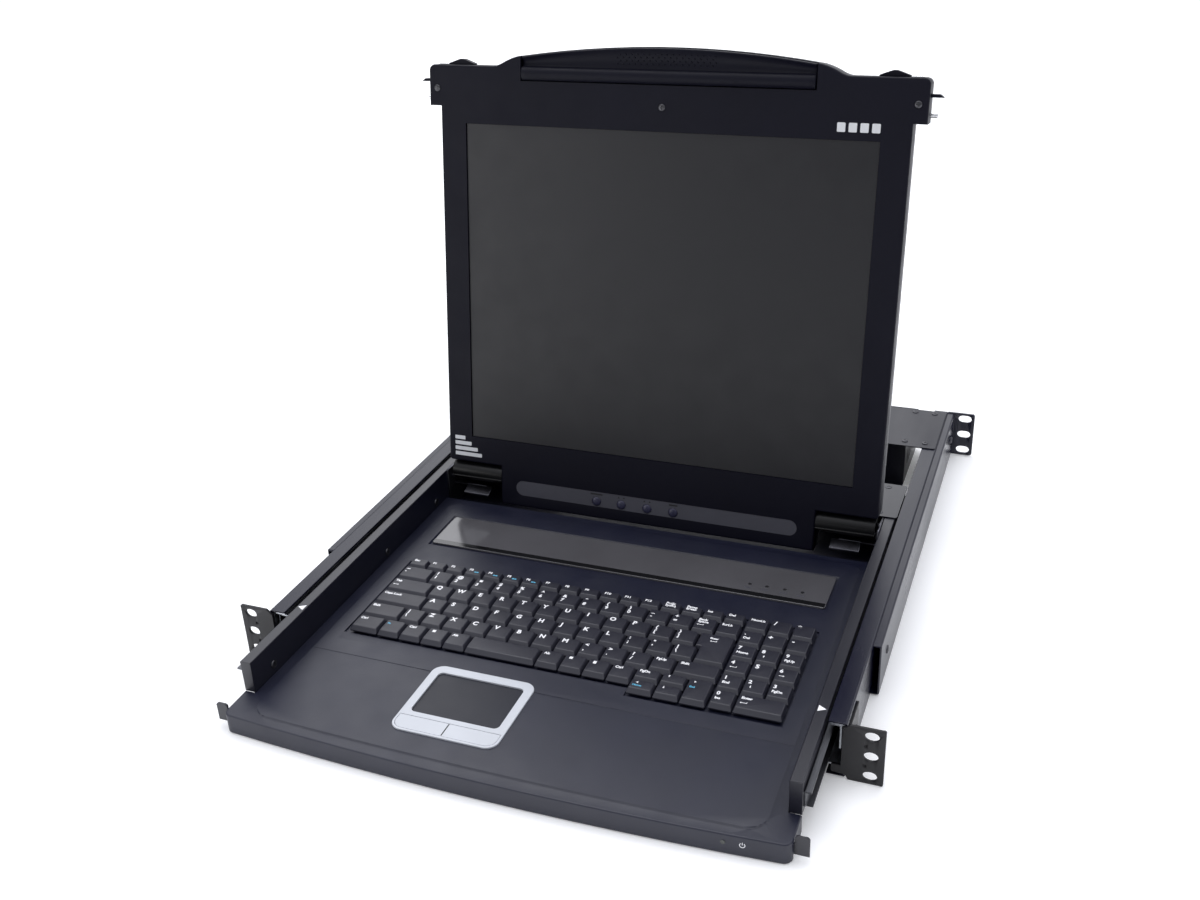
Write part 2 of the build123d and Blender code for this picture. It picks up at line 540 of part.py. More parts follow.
def run(start, count, pitch):
    """Boundaries of a run of equal keys."""
    return [start + i * pitch for i in range(count + 1)]


def number_pad(row):
    """The three number pad cells of a row counted up from the front."""
    front = PAD_FRONT + row * PAD_PITCH_Y
    return [
        (PAD_LEFT + i * PAD_PITCH_X, PAD_LEFT + (i + 1) * PAD_PITCH_X, front, front + PAD_PITCH_Y)
        for i in range(3)
    ]


CELLS = {
    "function_keys": row_cells(
        "function", run(KEY_LEFT, FUNCTION_COUNT, (KEY_RIGHT - KEY_LEFT) / FUNCTION_COUNT)
    ) + number_pad(5),
    "number_keys": row_cells("number", [KEY_LEFT] + run(-139.5, 12, UNIT) + [98.4, KEY_RIGHT]) + number_pad(4),
    "upper_letter_keys": row_cells("upper", [KEY_LEFT] + run(-130.45, 12, UNIT)) + number_pad(3),
    "home_letter_keys": row_cells("home", [KEY_LEFT] + run(-126.4, 12, UNIT)) + number_pad(2),
    "lower_letter_keys": row_cells(
        "lower", [KEY_LEFT, -135.9] + run(-117.6, 10, UNIT) + [83.7, KEY_RIGHT]
    ) + number_pad(1),
    "bottom_keys": row_cells("bottom", [KEY_LEFT, -143.4, -125.2, -106.9, -88.6, -70.3])
    + row_cells("bottom", [-14.3, 4.0, 22.3, 40.6, 58.9])
    + [(58.9, 78.2, ARROW_SPLIT, 45.5), (58.9, 78.2, ARROW_FRONT, ARROW_SPLIT)]
    + [(78.2, 97.5, ARROW_SPLIT, 45.5), (78.2, 97.5, ARROW_FRONT, ARROW_SPLIT)]
    + [(97.5, KEY_RIGHT, ARROW_FRONT, 45.5)]
    + [number_pad(0)[0], (number_pad(0)[1][0], number_pad(0)[2][1], PAD_FRONT, PAD_FRONT + PAD_PITCH_Y)],
    "space_bar": row_cells("bottom", [-70.3, -14.3]),
}
ENTER_UPPER = (89.15, KEY_RIGHT, ROW_FRONT["upper"], ROW_BACK["upper"])
ENTER_LOWER = (93.2, KEY_RIGHT, ROW_FRONT["home"], ROW_BACK["home"])
ENTER_STEM = (105.0, 73.0)


def middle(cell):
    """Centre of a key cell."""
    return ((cell[0] + cell[1]) / 2, (cell[2] + cell[3]) / 2)


def key_faces(cells, with_enter):
    """Rounded outlines of the caps, a gap smaller than their cells."""
    for cell in cells:
        with Locations(middle(cell)):
            RectangleRounded(cell[1] - cell[0] - KEY_GAP, cell[3] - cell[2] - KEY_GAP, 1.0)
    if with_enter:
        for cell, grow in ((ENTER_UPPER, 0), (ENTER_LOWER, KEY_GAP)):
            with Locations((middle(cell)[0], middle(cell)[1] + grow / 2)):
                Rectangle(cell[1] - cell[0] - KEY_GAP, cell[3] - cell[2] - KEY_GAP + grow)


for name, cells in CELLS.items():
    enter = name == "home_letter_keys"
    stems = [middle(cell) for cell in cells] + ([ENTER_STEM] if enter else [])
    with BuildPart() as keys:
        with BuildSketch(level(KEY_BOTTOM)):
            key_faces(cells, enter)
        extrude(amount=1.2)
        with BuildSketch(level(KEY_BOTTOM + 1.2)):
            key_faces(cells, enter)
        extrude(amount=KEY_TOP - KEY_BOTTOM - 1.2, taper=20)
        with BuildSketch(level(12.4)):
            with Locations(*stems):
                Circle(2.0)
        extrude(amount=KEY_BOTTOM - 12.4)
    finish(keys, name)

ALL_STEMS = [middle(cell) for cells in CELLS.values() for cell in cells] + [ENTER_STEM]
with BuildPart() as key_base:
    block((-WELL_HALF, WELL_HALF), (WELL_FRONT, WELL_BACK), (9.0, BOARD_TOP))
    block((-WELL_HALF - 3, WELL_HALF + 3), (WELL_FRONT - 3, WELL_BACK + 3), (7.0, 9.0))
    block((-WELL_HALF + 6, WELL_HALF - 6), (WELL_FRONT, WELL_FRONT + 2), (PAN_TOP, 7.0))
    block((-WELL_HALF + 6, WELL_HALF - 6), (WELL_BACK - 2, WELL_BACK), (PAN_TOP, 7.0))
    block((-WELL_HALF, 58.3), (WELL_FRONT, ROW_FRONT["bottom"] - KEY_GAP), (BOARD_TOP, DECK_TOP))
    with BuildSketch(level(10.0)):
        with Locations(*ALL_STEMS):
            Circle(2.3)
    extrude(amount=BOARD_TOP - 10.0, mode=Mode.SUBTRACT)
finish(key_base, "keyboard_base")

# ---- display ---------------------------------------------------------------------------------------
SKIN = 2.0                    # wall of the display's two shells
HANDLE_HALF, HANDLE_BOTTOM = 119.0, 346.5
WING_SCREW, CENTRE_SCREW = (194.0, 335.5), (0.0, 326.6)
OSD_X, OSD_V = (-50.0, -27.2, -3.8, 19.6), -6.0
OSD_R = 4.0
LATCH_X, LATCH_V, LATCH_W = (163.0, 199.2), (340.0, 351.6), (-2.6, 3.4)
HOOK_END = 211.0


def display_outline(inset):
    """Front outline of the display, drawn in by an inset."""
    base, waist, side = TONGUE_BOTTOM + inset, COLUMN_BOTTOM + inset, DISPLAY_HALF - inset
    tongue, wing = TONGUE_HALF - inset, WING_HALF - inset
    low, top, rise = WING_BOTTOM + inset, WING_TOP - inset, ARCH_SHOULDER - inset
    half = ARCH_HALF - inset
    with BuildLine() as edge:
        ThreePointArc((-half, rise), (0, ARCH_TOP - inset), (half, rise))
        Spline((half, rise), (133.0, (rise + top) / 2), (145.0, top), tangents=((1, -0.25), (1, 0)))
        Polyline(
            (145.0, top), (wing, top), (wing, low), (side, low), (side, waist), (tongue, waist),
            (tongue, base), (-tongue, base), (-tongue, waist), (-side, waist), (-side, low), (-wing, low),
            (-wing, top), (-145.0, top),
        )
        Spline((-145.0, top), (-133.0, (rise + top) / 2), (-half, rise), tangents=((1, 0), (1, 0.25)))
    make_face(edge.edges())


def display_shell(w, inset=0.0, mode=Mode.ADD):
    """The display's outline, inset, between two depths."""
    with BuildSketch(DISPLAY.offset(w[0])) as outline:
        display_outline(inset)
        if inset == 0:
            tips = [p for p in outline.vertices() if abs(p.X) > WING_HALF - 0.1 and p.Y > WING_TOP - 1]
            fillet(tips, 5)
            tips = [p for p in outline.vertices() if abs(p.X) > DISPLAY_HALF - 0.1 and p.Y < COLUMN_BOTTOM + 1]
            fillet(tips, 3)
    extrude(outline.sketch, amount=w[1] - w[0], mode=mode)


def shell_openings():
    """Openings that both halves of the display share: latches, hooks and locating pins."""
    for side in (-1, 1):
        slab(span(side, 158, 191), (WING_TOP - 3, 360), (-2.9, 3.7), Mode.SUBTRACT)
        slab(span(side, 190, 203), (LATCH_V[0] - 0.4, LATCH_V[0] + 3.0), (-2.9, 4.9), Mode.SUBTRACT)
        pin_at = DISPLAY.from_local_coords((side * 195.0, 327.4, 0.0))
        rod((pin_at.X, pin_at.Y, pin_at.Z - BASE), (side, 0, 0), 1.62, 12, Mode.SUBTRACT)
        slab(span(side, 149, 187), (COLUMN_BOTTOM - 1, COLUMN_BOTTOM + 3), (-3.1, -1.4), Mode.SUBTRACT)


with BuildPart() as bezel:
    display_shell((SPLIT, FACE))
    outline_edges = bezel.faces().sort_by(lambda face: DISPLAY.to_local_coords(face.center()).Z)[-1].edges()
    fillet(outline_edges, 1.6)
    display_shell((SPLIT - 1, FACE - SKIN), SKIN, Mode.SUBTRACT)
    slab((-SCREEN_W / 2, SCREEN_W / 2), (SCREEN_BOTTOM, SCREEN_BOTTOM + SCREEN_H), (0, 12), Mode.SUBTRACT)
    shell_openings()
    slab((-HANDLE_HALF - 0.5, HANDLE_HALF + 0.5), (HANDLE_BOTTOM - 3.5, 380), (3.0, 12), Mode.SUBTRACT)
    slab((-HANDLE_HALF - 2.5, HANDLE_HALF + 2.5), (HANDLE_BOTTOM - 5.5, 360), (1.0, 3.0))
    with BuildSketch(DISPLAY.offset(FACE - 0.5)):
        with Locations((0, -4)):
            SlotOverall(253, 14)
    extrude(amount=2, mode=Mode.SUBTRACT)
    for x in OSD_X:
        face_rod(x, OSD_V, (6, 12), OSD_R + 0.3, Mode.SUBTRACT)
    for x, v in ((-WING_SCREW[0], WING_SCREW[1]), WING_SCREW, CENTRE_SCREW):
        face_rod(x, v, (0, 12), 1.6, Mode.SUBTRACT)
finish(bezel, "display_bezel")

with BuildPart() as back_cover:
    display_shell((BACK, SPLIT))
    display_shell((BACK + SKIN, SPLIT + 1), SKIN, Mode.SUBTRACT)
    shell_openings()
    for row in range(7):
        for column in range(-6, 7):
            slab((column * 18 - 6.5, column * 18 + 6.5), (255 + row * 6, 257.4 + row * 6), (-10, -5), Mode.SUBTRACT)
finish(back_cover, "display_back_cover")

with BuildPart() as panel:
    slab((-178, 178), (26, 320), (-3.0, FACE - SKIN))
    slab((-SCREEN_W / 2 + 0.3, SCREEN_W / 2 - 0.3), (SCREEN_BOTTOM + 0.3, SCREEN_BOTTOM + SCREEN_H - 0.3),
         (FACE - SKIN, FACE - 1.3))
finish(panel, "display_panel")

with BuildPart() as display_board:
    slab((-85, 85), (70, 170), (-5.9, -4.5))
    for x, v, w, d in ((-60, 90, 24, 24), (-10, 110, 30, 30), (45, 95, 20, 14)):
        slab((x, x + w), (v, v + d), (-6.4, -5.9))
    for x in (-80, 80):
        for v in (75, 165):
            face_rod(x, v, (-4.5, -3.0), 3.0)
    slab((-70, 40), (-12, 0), (3.0, 4.4))
    for x in OSD_X:
        slab((x - 3, x + 3), (OSD_V - 3, OSD_V + 3), (4.4, 5.6))
    for x in (-66, 36):
        face_rod(x, OSD_V, (BACK + SKIN, 3.0), 2.5)
finish(display_board, "display_board")

for number, x in enumerate(OSD_X, start=1):
    with BuildPart() as osd_button:
        face_rod(x, OSD_V, (6.6, 10.4), OSD_R)
        fillet(osd_button.edges().filter_by(GeomType.CIRCLE).sort_by(Axis.Y)[0], 0.9)
    finish(osd_button, f"menu_button_{number}")

with BuildPart() as grip:
    with BuildSketch(DISPLAY.offset(3.0)):
        with BuildLine():
            ThreePointArc((-HANDLE_HALF, 361.4), (0, ARCH_TOP - 0.4), (HANDLE_HALF, 361.4))
            Polyline((HANDLE_HALF, 361.4), (HANDLE_HALF, 352.0), (-HANDLE_HALF, 352.0), (-HANDLE_HALF, 361.4))
        make_face()
    extrude(amount=3.6)
    with BuildSketch(Plane(origin=DISPLAY.from_local_coords((-HANDLE_HALF + 0.5, 350.4, 8.6)), z_dir=(1, 0, 0))):
        Circle(4.0)
    extrude(amount=2 * HANDLE_HALF - 1)
    slab((-HANDLE_HALF, HANDLE_HALF), (348.5, 353.5), (3.0, 7.5))
finish(grip, "handle_grip")

# Upper half shells over the barrels, with a thin ledge along the front of the open side.
COVER_V, COVER_CUT, LEDGE_W = 3.0, -1.2, 9.8
with BuildPart() as hinge_covers:
    for side in (-1, 1):
        centre = DISPLAY.from_local_coords((side * TONGUE_HALF, COVER_V, 0))
        rod((centre.X, centre.Y, centre.Z - BASE), (side, 0, 0), COVER_R, 189 - TONGUE_HALF)
        slab(span(side, TONGUE_HALF - 1, 190), (-20, COVER_CUT), (-COVER_R - 1, COVER_R + 1), Mode.SUBTRACT)
        slab(span(side, TONGUE_HALF, 189), (COVER_CUT, COVER_CUT + 1.3), (6.5, LEDGE_W))
        rod((side * (TONGUE_HALF - 1), HINGE_Y, HINGE_Z), (side, 0, 0), BARREL_R, 60, Mode.SUBTRACT)
        slab(span(side, 149, 187), (4, 13), (-3.1, -1.4), Mode.SUBTRACT)
finish(hinge_covers, "hinge_covers")

for side, tag in SIDES:
    with BuildPart() as barrel:
        rod((side * 147, HINGE_Y, HINGE_Z), (side, 0, 0), BARREL_R, 41)
        slab(span(side, 150, 186), (4.5, 60), (-3.0, -1.5))
        rod((side * 146, HINGE_Y, HINGE_Z), (side, 0, 0), BORE_R, 60, Mode.SUBTRACT)
        slab(span(side, 150, 186), (24, 60), (-4.5, -1.4), Mode.SUBTRACT)
    finish(barrel, f"{tag}_hinge_barrel")

with BuildPart() as locating_pins:
    for side in (-1, 1):
        pin_at = DISPLAY.from_local_coords((side * 196.0, 327.4, 0.0))
        rod((pin_at.X, pin_at.Y, pin_at.Z - BASE), (side, 0, 0), 1.6, 11.5)
    tips = locating_pins.edges().filter_by(GeomType.CIRCLE)
    fillet([tips.sort_by(Axis.X)[0], tips.sort_by(Axis.X)[-1]], 0.7)
finish(locating_pins, "locating_pins")

with BuildPart() as bezel_screws:
    for x, v in ((-WING_SCREW[0], WING_SCREW[1]), WING_SCREW, CENTRE_SCREW):
        face_rod(x, v, (FACE, FACE + 0.7), 2.7)
        face_rod(x, v, (FACE - 4, FACE), 1.5)
finish(bezel_screws, "bezel_screws")

for side, tag in SIDES:
    with BuildPart() as latch:
        slab(span(side, *LATCH_X), LATCH_V, LATCH_W)
        hook = [(199.0, 340.3), (HOOK_END, 340.3), (HOOK_END - 3.2, 342.6), (199.0, 342.6)]
        with BuildSketch(DISPLAY.offset(LATCH_W[0])):
            with BuildLine():
                Polyline([(side * px, pv) for px, pv in hook], close=True)
            make_face()
        extrude(amount=4.6 - LATCH_W[0])
        bump = [(163.5, 351.0), (163.5, 355.2), (173.0, 358.6), (176.0, 358.6), (186.0, 355.2), (186.0, 351.0)]
        with BuildSketch(DISPLAY.offset(LATCH_W[0])):
            with BuildLine():
                Polyline([(side * px, pv) for px, pv in bump], close=True)
            make_face()
        extrude(amount=LATCH_W[1] - LATCH_W[0])
    finish(latch, f"{tag}_latch")
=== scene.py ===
import json
import math

import bmesh
import bpy
from mathutils import Matrix, Vector


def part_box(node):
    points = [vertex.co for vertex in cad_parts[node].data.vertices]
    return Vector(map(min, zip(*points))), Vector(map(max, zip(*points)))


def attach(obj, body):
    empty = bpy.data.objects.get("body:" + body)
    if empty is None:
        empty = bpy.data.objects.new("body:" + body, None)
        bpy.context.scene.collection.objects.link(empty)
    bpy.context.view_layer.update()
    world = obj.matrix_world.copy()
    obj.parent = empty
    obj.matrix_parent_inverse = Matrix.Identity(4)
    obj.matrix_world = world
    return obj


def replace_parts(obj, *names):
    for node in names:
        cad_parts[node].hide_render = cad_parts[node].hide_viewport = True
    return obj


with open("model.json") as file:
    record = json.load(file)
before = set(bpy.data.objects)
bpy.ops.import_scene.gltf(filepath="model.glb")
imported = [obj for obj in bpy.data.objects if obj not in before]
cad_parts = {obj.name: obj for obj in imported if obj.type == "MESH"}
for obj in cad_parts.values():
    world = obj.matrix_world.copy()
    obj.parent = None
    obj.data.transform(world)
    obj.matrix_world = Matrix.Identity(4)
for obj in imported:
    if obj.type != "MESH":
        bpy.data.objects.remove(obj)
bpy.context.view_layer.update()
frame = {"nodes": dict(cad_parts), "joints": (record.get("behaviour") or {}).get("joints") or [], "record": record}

MM = 0.001
NODES = frame["nodes"]


def low_high(node):
    """Lowest and highest corners of a CAD node, in metres."""
    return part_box(node)


# ---- places read from the frame ------------------------------------------------------------
FLOOR_Z = low_high("left_front_ear")[0].z
HINGE = Vector(next(j for j in frame["joints"] if j["name"] == "display_hinge")["pos_m"])
LEAN = math.radians(8.75)
UP = Vector((0, math.sin(LEAN), math.cos(LEAN)))
OUT = Vector((0, -math.cos(LEAN), math.sin(LEAN)))


def on_display(x, v, w):
    """A point in the display's own frame (mm across, mm up, mm out of the hinge plane), in metres."""
    return Vector((HINGE.x + x * MM, HINGE.y, HINGE.z)) + UP * (v * MM) + OUT * (w * MM)


DISPLAY_AXES = Matrix((
    (1, 0, 0, 0),
    (0, UP.y, OUT.y, 0),
    (0, UP.z, OUT.z, 0),
    (0, 0, 0, 1),
))
FACE_W = 9.5                  # mm from the hinge plane to the display's front face

# ---- camera: the photograph's angle --------------------------------------------------------
CAM_PLACE = Vector((0.3212, -0.6509, 0.5707 + FLOOR_Z))
CAM_AZ, CAM_EL, CAM_ROLL = -0.386, 0.467, -0.047
CAM_LENS = 38.456


def make_camera():
    flat = math.cos(CAM_EL)
    look = Vector((math.sin(CAM_AZ) * flat, math.cos(CAM_AZ) * flat, -math.sin(CAM_EL)))
    right = look.cross(Vector((0, 0, 1))).normalized()
    up = right.cross(look)
    right_r = right * math.cos(CAM_ROLL) + up * math.sin(CAM_ROLL)
    up_r = up * math.cos(CAM_ROLL) - right * math.sin(CAM_ROLL)
    turn = Matrix((right_r, up_r, -look)).transposed().to_4x4()
    data = bpy.data.cameras.new("camera")
    data.lens = CAM_LENS
    data.sensor_width = 36.0
    data.clip_start = 0.01
    data.clip_end = 50
    cam = bpy.data.objects.new("camera", data)
    cam.matrix_world = Matrix.Translation(CAM_PLACE) @ turn
    bpy.context.scene.collection.objects.link(cam)
    bpy.context.scene.camera = cam


make_camera()


# ---- materials ------------------------------------------------------------------------------
def node_material(name):
    """A new material and its node tree, shader and object-space coordinates."""
    mat = bpy.data.materials.new(name)
    mat.use_nodes = True
    tree = mat.node_tree
    shader = next(n for n in tree.nodes if n.type == "BSDF_PRINCIPLED")
    coords = tree.nodes.new("ShaderNodeTexCoord")
    return mat, tree, shader, coords


def noise(tree, coords, scale, detail=3.0, stretch=None):
    """Noise texture at a scale per metre, optionally stretched along an axis."""
    tex = tree.nodes.new("ShaderNodeTexNoise")
    tex.inputs["Scale"].default_value = scale
    tex.inputs["Detail"].default_value = detail
    if stretch:
        mapping = tree.nodes.new("ShaderNodeMapping")
        mapping.inputs["Scale"].default_value = stretch
        tree.links.new(coords.outputs["Object"], mapping.inputs["Vector"])
        tree.links.new(mapping.outputs["Vector"], tex.inputs["Vector"])
    else:
        tree.links.new(coords.outputs["Object"], tex.inputs["Vector"])
    return tex


def ramp(tree, source, low, high, positions=(0.3, 0.7)):
    """Colour ramp between two colours."""
    node = tree.nodes.new("ShaderNodeValToRGB")
    node.color_ramp.elements[0].position = positions[0]
    node.color_ramp.elements[1].position = positions[1]
    node.color_ramp.elements[0].color = (*low, 1)
    node.color_ramp.elements[1].color = (*high, 1)
    tree.links.new(source, node.inputs["Fac"])
    return node


def add_bump(tree, shader, heights, distance=0.0002):
    """Chain of bumps: (texture output, strength) pairs."""
    last = None
    for source, strength in heights:
        bump = tree.nodes.new("ShaderNodeBump")
        bump.inputs["Strength"].default_value = strength
        bump.inputs["Distance"].default_value = distance
        tree.links.new(source, bump.inputs["Height"])
        if last:
            tree.links.new(last.outputs["Normal"], bump.inputs["Normal"])
        last = bump
    tree.links.new(last.outputs["Normal"], shader.inputs["Normal"])


def grey(value):
    return (value, value, value)


def plastic(name, colour, rough, grain=2600, strength=0.25, specular=0.5, vary=0.10, coat=0.0):
    """Moulded plastic: spark-eroded grain, slow tone variation and uneven sheen."""
    mat, tree, shader, coords = node_material(name)
    slow = noise(tree, coords, 18, 4)
    tone = ramp(tree, slow.outputs["Fac"], [c * (1 - vary) for c in colour], [c * (1 + vary) for c in colour])
    tree.links.new(tone.outputs["Color"], shader.inputs["Base Color"])
    smudge = noise(tree, coords, 45, 5)
    sheen = ramp(tree, smudge.outputs["Fac"], grey(rough - 0.04), grey(rough + 0.05))
    tree.links.new(sheen.outputs["Color"], shader.inputs["Roughness"])
    shader.inputs["Specular IOR Level"].default_value = specular
    shader.inputs["Coat Weight"].default_value = coat
    shader.inputs["Coat Roughness"].default_value = 0.12
    fine = noise(tree, coords, grain, 2)
    coarse = noise(tree, coords, grain / 6, 2)
    add_bump(tree, shader, ((fine.outputs["Fac"], strength), (coarse.outputs["Fac"], strength * 0.35)))
    return mat


def paint(name, colour, rough, peel=700, strength=0.12, speck=0.0, specular=0.5):
    """Powder coat on sheet steel: orange peel, fine grit and faint handling marks."""
    mat, tree, shader, coords = node_material(name)
    grit = noise(tree, coords, 3800, 2)
    low = [c * 0.86 for c in colour]
    high = [c * (1.18 + speck) for c in colour]
    tone = ramp(tree, grit.outputs["Fac"], low, high, (0.35, 0.75))
    tree.links.new(tone.outputs["Color"], shader.inputs["Base Color"])
    marks = noise(tree, coords, 30, 6, (1, 0.25, 1))
    sheen = ramp(tree, marks.outputs["Fac"], grey(rough - 0.06), grey(rough + 0.07))
    tree.links.new(sheen.outputs["Color"], shader.inputs["Roughness"])
    shader.inputs["Specular IOR Level"].default_value = specular
    peel_tex = noise(tree, coords, peel, 2)
    add_bump(tree, shader, ((peel_tex.outputs["Fac"], strength), (grit.outputs["Fac"], strength * 0.6)))
    return mat


def metal(name, colour, rough, stretch=(1, 0.02, 1), lines=2400, strength=0.06):
    """Bright metal with fine drawn lines along one axis."""
    mat, tree, shader, coords = node_material(name)
    drawn = noise(tree, coords, lines, 3, stretch)
    tone = ramp(tree, drawn.outputs["Fac"], [c * 0.8 for c in colour], colour)
    tree.links.new(tone.outputs["Color"], shader.inputs["Base Color"])
    shader.inputs["Metallic"].default_value = 1.0
    cloud = noise(tree, coords, 60, 4)
    sheen = ramp(tree, cloud.outputs["Fac"], grey(rough - 0.05), grey(rough + 0.08))
    tree.links.new(sheen.outputs["Color"], shader.inputs["Roughness"])
    add_bump(tree, shader, ((drawn.outputs["Fac"], strength),))
    return mat


def board_green(name):
    """Circuit board: green mask over copper tracks."""
    mat, tree, shader, coords = node_material(name)
    tracks = tree.nodes.new("ShaderNodeTexBrick")
    tracks.inputs["Scale"].default_value = 160
    tracks.inputs["Mortar Size"].default_value = 0.05
    tree.links.new(coords.outputs["Object"], tracks.inputs["Vector"])
    tone = ramp(tree, tracks.outputs["Fac"], (0.012, 0.09, 0.035), (0.05, 0.22, 0.08))
    tree.links.new(tone.outputs["Color"], shader.inputs["Base Color"])
    shader.inputs["Roughness"].default_value = 0.35
    add_bump(tree, shader, ((tracks.outputs["Fac"], 0.2),))
    return mat


HOUSING = plastic("housing_grain", (0.0045, 0.0058, 0.0195), 0.44, grain=2300, strength=0.30, specular=0.60)
KEYS = plastic("key_cap_grain", (0.015, 0.0152, 0.025), 0.42, grain=3200, strength=0.22, specular=0.55)
SILVER = plastic("silver_paint", (0.54, 0.56, 0.60), 0.36, grain=4200, strength=0.08, specular=0.6, vary=0.05)
PAD = plastic("pad_film", (0.005, 0.006, 0.014), 0.40, grain=5200, strength=0.12, specular=0.4)
WINDOW = plastic(
    "smoked_window", (0.085, 0.083, 0.090), 0.13, grain=900, strength=0.02, specular=0.7, coat=0.5,
)
BAND = plastic("window_band", (0.004, 0.004, 0.005), 0.13, grain=900, strength=0.02, specular=0.6, coat=0.4)
BEZEL = plastic("bezel_grain", (0.0020, 0.0020, 0.0075), 0.50, grain=2600, strength=0.22, specular=0.17)
COVER = plastic("cover_grain", (0.020, 0.0205, 0.026), 0.46, grain=2400, strength=0.22)
GRIP = plastic("grip_grain", (0.0045, 0.0045, 0.0100), 0.46, grain=2800, strength=0.2, specular=0.14)
STRIP = plastic("menu_strip", (0.060, 0.060, 0.075), 0.42, grain=3000, strength=0.08, specular=0.40)
HINGE_SKIN = plastic("hinge_cover", (0.0035, 0.0035, 0.0040), 0.34, grain=2600, strength=0.15, specular=0.30)
SCREEN = plastic(
    "screen_film", (0.0045, 0.0044, 0.0065), 0.40, grain=9000, strength=0.06, vary=0.04, specular=0.45,
)
DOME = plastic("dome_plastic", (0.022, 0.022, 0.050), 0.30, grain=2600, strength=0.05)
INLET = plastic("inlet_plastic", (0.008, 0.008, 0.009), 0.30, grain=1800, strength=0.06)
WHITE_INK = plastic("white_ink", (0.90, 0.90, 0.92), 0.5, grain=3000, strength=0.05, vary=0.03)
BLUE_INK = plastic("blue_ink", (0.10, 0.42, 0.62), 0.5, grain=3000, strength=0.05, vary=0.04)
DARK_INK = plastic("dark_ink", (0.006, 0.006, 0.008), 0.5, grain=3000, strength=0.05)
PALE_LABEL = plastic("pale_label", (0.62, 0.63, 0.65), 0.4, grain=2500, strength=0.04)
LENS = plastic("lamp_lens", (0.03, 0.035, 0.03), 0.15, grain=1500, strength=0.02, specular=0.7)
RAIL_PAINT = paint("rail_paint", (0.003, 0.0035, 0.015), 0.28, specular=0.44)
EAR_PAINT = paint("ear_paint", (0.0022, 0.0018, 0.0035), 0.46, peel=1100, strength=0.2, speck=0.2)
DRAWER_PAINT = paint("drawer_paint", (0.0025, 0.0027, 0.0100), 0.38, specular=0.75)
CASE_PAINT = paint("case_paint", (0.008, 0.008, 0.016), 0.44, peel=900)
ZINC = metal("zinc_plate", (0.50, 0.52, 0.55), 0.34)
# zinc darkened as painted shade, so the gap between side wall and rail reads dark on the inner slides
SHADED_ZINC = metal("zinc_plate_painted_shade", (0.13, 0.133, 0.145), 0.40)
SCREW = metal("screw_plate", (0.10, 0.10, 0.108), 0.34, (1, 1, 1), 1800)
# hinge barrels coloured near black as painted shade, so the space under the hinge covers reads dark
SHADED_BARREL = metal("barrel_black_painted_shade", (0.012, 0.012, 0.013), 0.40, (1, 1, 1), 1800)
PIN = metal("pin_steel", (0.80, 0.80, 0.81), 0.16, (0.05, 1, 1), 1800)
PORT = metal("port_nickel", (0.66, 0.66, 0.66), 0.26, (1, 1, 1), 1500)
BRACKET = metal("bracket_plate", (0.13, 0.13, 0.15), 0.36, (1, 0.05, 1), 2000)
BOARD = board_green("board_mask")


# ---- mesh helpers ---------------------------------------------------------------------------
SHORT_EDGE = 1.6              # mm; shorter edges belong to small holes and stay crisp
SHARP_ANGLE = math.radians(32)
INK_HEIGHT = 0.06             # mm that printed signs stand out


def new_object(name, mesh, material, body):
    """Links a finished mesh as a piece that rides on a body."""
    obj = bpy.data.objects.new(name, mesh)
    bpy.context.scene.collection.objects.link(obj)
    mesh.materials.clear()
    mesh.materials.append(material)
    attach(obj, body)
    return obj


def smooth(mesh, angle=32):
    """Smooth shading that keeps edges sharper than an angle."""
    mesh.shade_smooth()
    mesh.set_sharp_from_angle(angle=math.radians(angle))


def flat_normals(obj, keep_sharp):
    """Keeps the large flat faces' shading flat beside fillets."""
    flat = obj.modifiers.new("flat_faces", "WEIGHTED_NORMAL")
    flat.mode = "FACE_AREA"
    flat.weight = 100
    flat.keep_sharp = keep_sharp


def bevel(obj, width):
    """Rounded edges where the mesh is marked for them."""
    mod = obj.modifiers.new("round_edges", "BEVEL")
    mod.width = width * MM
    mod.segments = 3
    mod.limit_method = "WEIGHT"
    mod.miter_outer = "MITER_ARC"
    mod.use_clamp_overlap = False


def body_of_node(node):
    groups = frame["record"]["behaviour"]["bodies"]
    return next(name for name, members in groups.items() if node in members)


def slot_of_node(node):
    return next(s["material_slot"] for s in frame["record"]["subparts"] if s["node"] == node)


def softened(node, material, width):
    """A clean copy of a CAD node that stands for it, with its long edges rounded if a width is given."""
    mesh = NODES[node].data.copy()
    bm = bmesh.new()
    bm.from_mesh(mesh)
    bmesh.ops.remove_doubles(bm, verts=bm.verts, dist=0.00001)
    rounded = bm.edges.layers.float.new("bevel_weight_edge")
    for edge in bm.edges:
        sharp = edge.is_manifold and edge.calc_face_angle(0) > SHARP_ANGLE
        edge[rounded] = 1.0 if sharp and edge.calc_length() > SHORT_EDGE * MM else 0.0
    bm.to_mesh(mesh)
    bm.free()
    smooth(mesh)
    obj = new_object(f"{node}_skin", mesh, material, body_of_node(node))
    if width:
        bevel(obj, width)
    flat_normals(obj, keep_sharp=not width)
    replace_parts(obj, node)
    return obj


def coat(node, material):
    """Gives a kept CAD node its finish."""
    NODES[node].data.materials.clear()
    NODES[node].data.materials.append(material)


def join_bmesh(target, source, matrix):
    """Adds one bmesh's geometry to another through a matrix."""
    mesh = bpy.data.meshes.new("scratch")
    source.to_mesh(mesh)
    mesh.transform(matrix)
    target.from_mesh(mesh)
    bpy.data.meshes.remove(mesh)


def mesh_from(bm, name):
    mesh = bpy.data.meshes.new(name)
    bm.normal_update()
    bm.to_mesh(mesh)
    bm.free()
    return mesh


def add_loops(bm, loops):
    """Closed skin over loops of equal length."""
    rings = [[bm.verts.new(p) for p in loop] for loop in loops]
    count = len(rings[0])
    for a, b in zip(rings, rings[1:]):
        for i in range(count):
            bm.faces.new((a[i], a[(i + 1) % count], b[(i + 1) % count], b[i]))
    bm.faces.new(list(reversed(rings[0])))
    bm.faces.new(rings[-1])


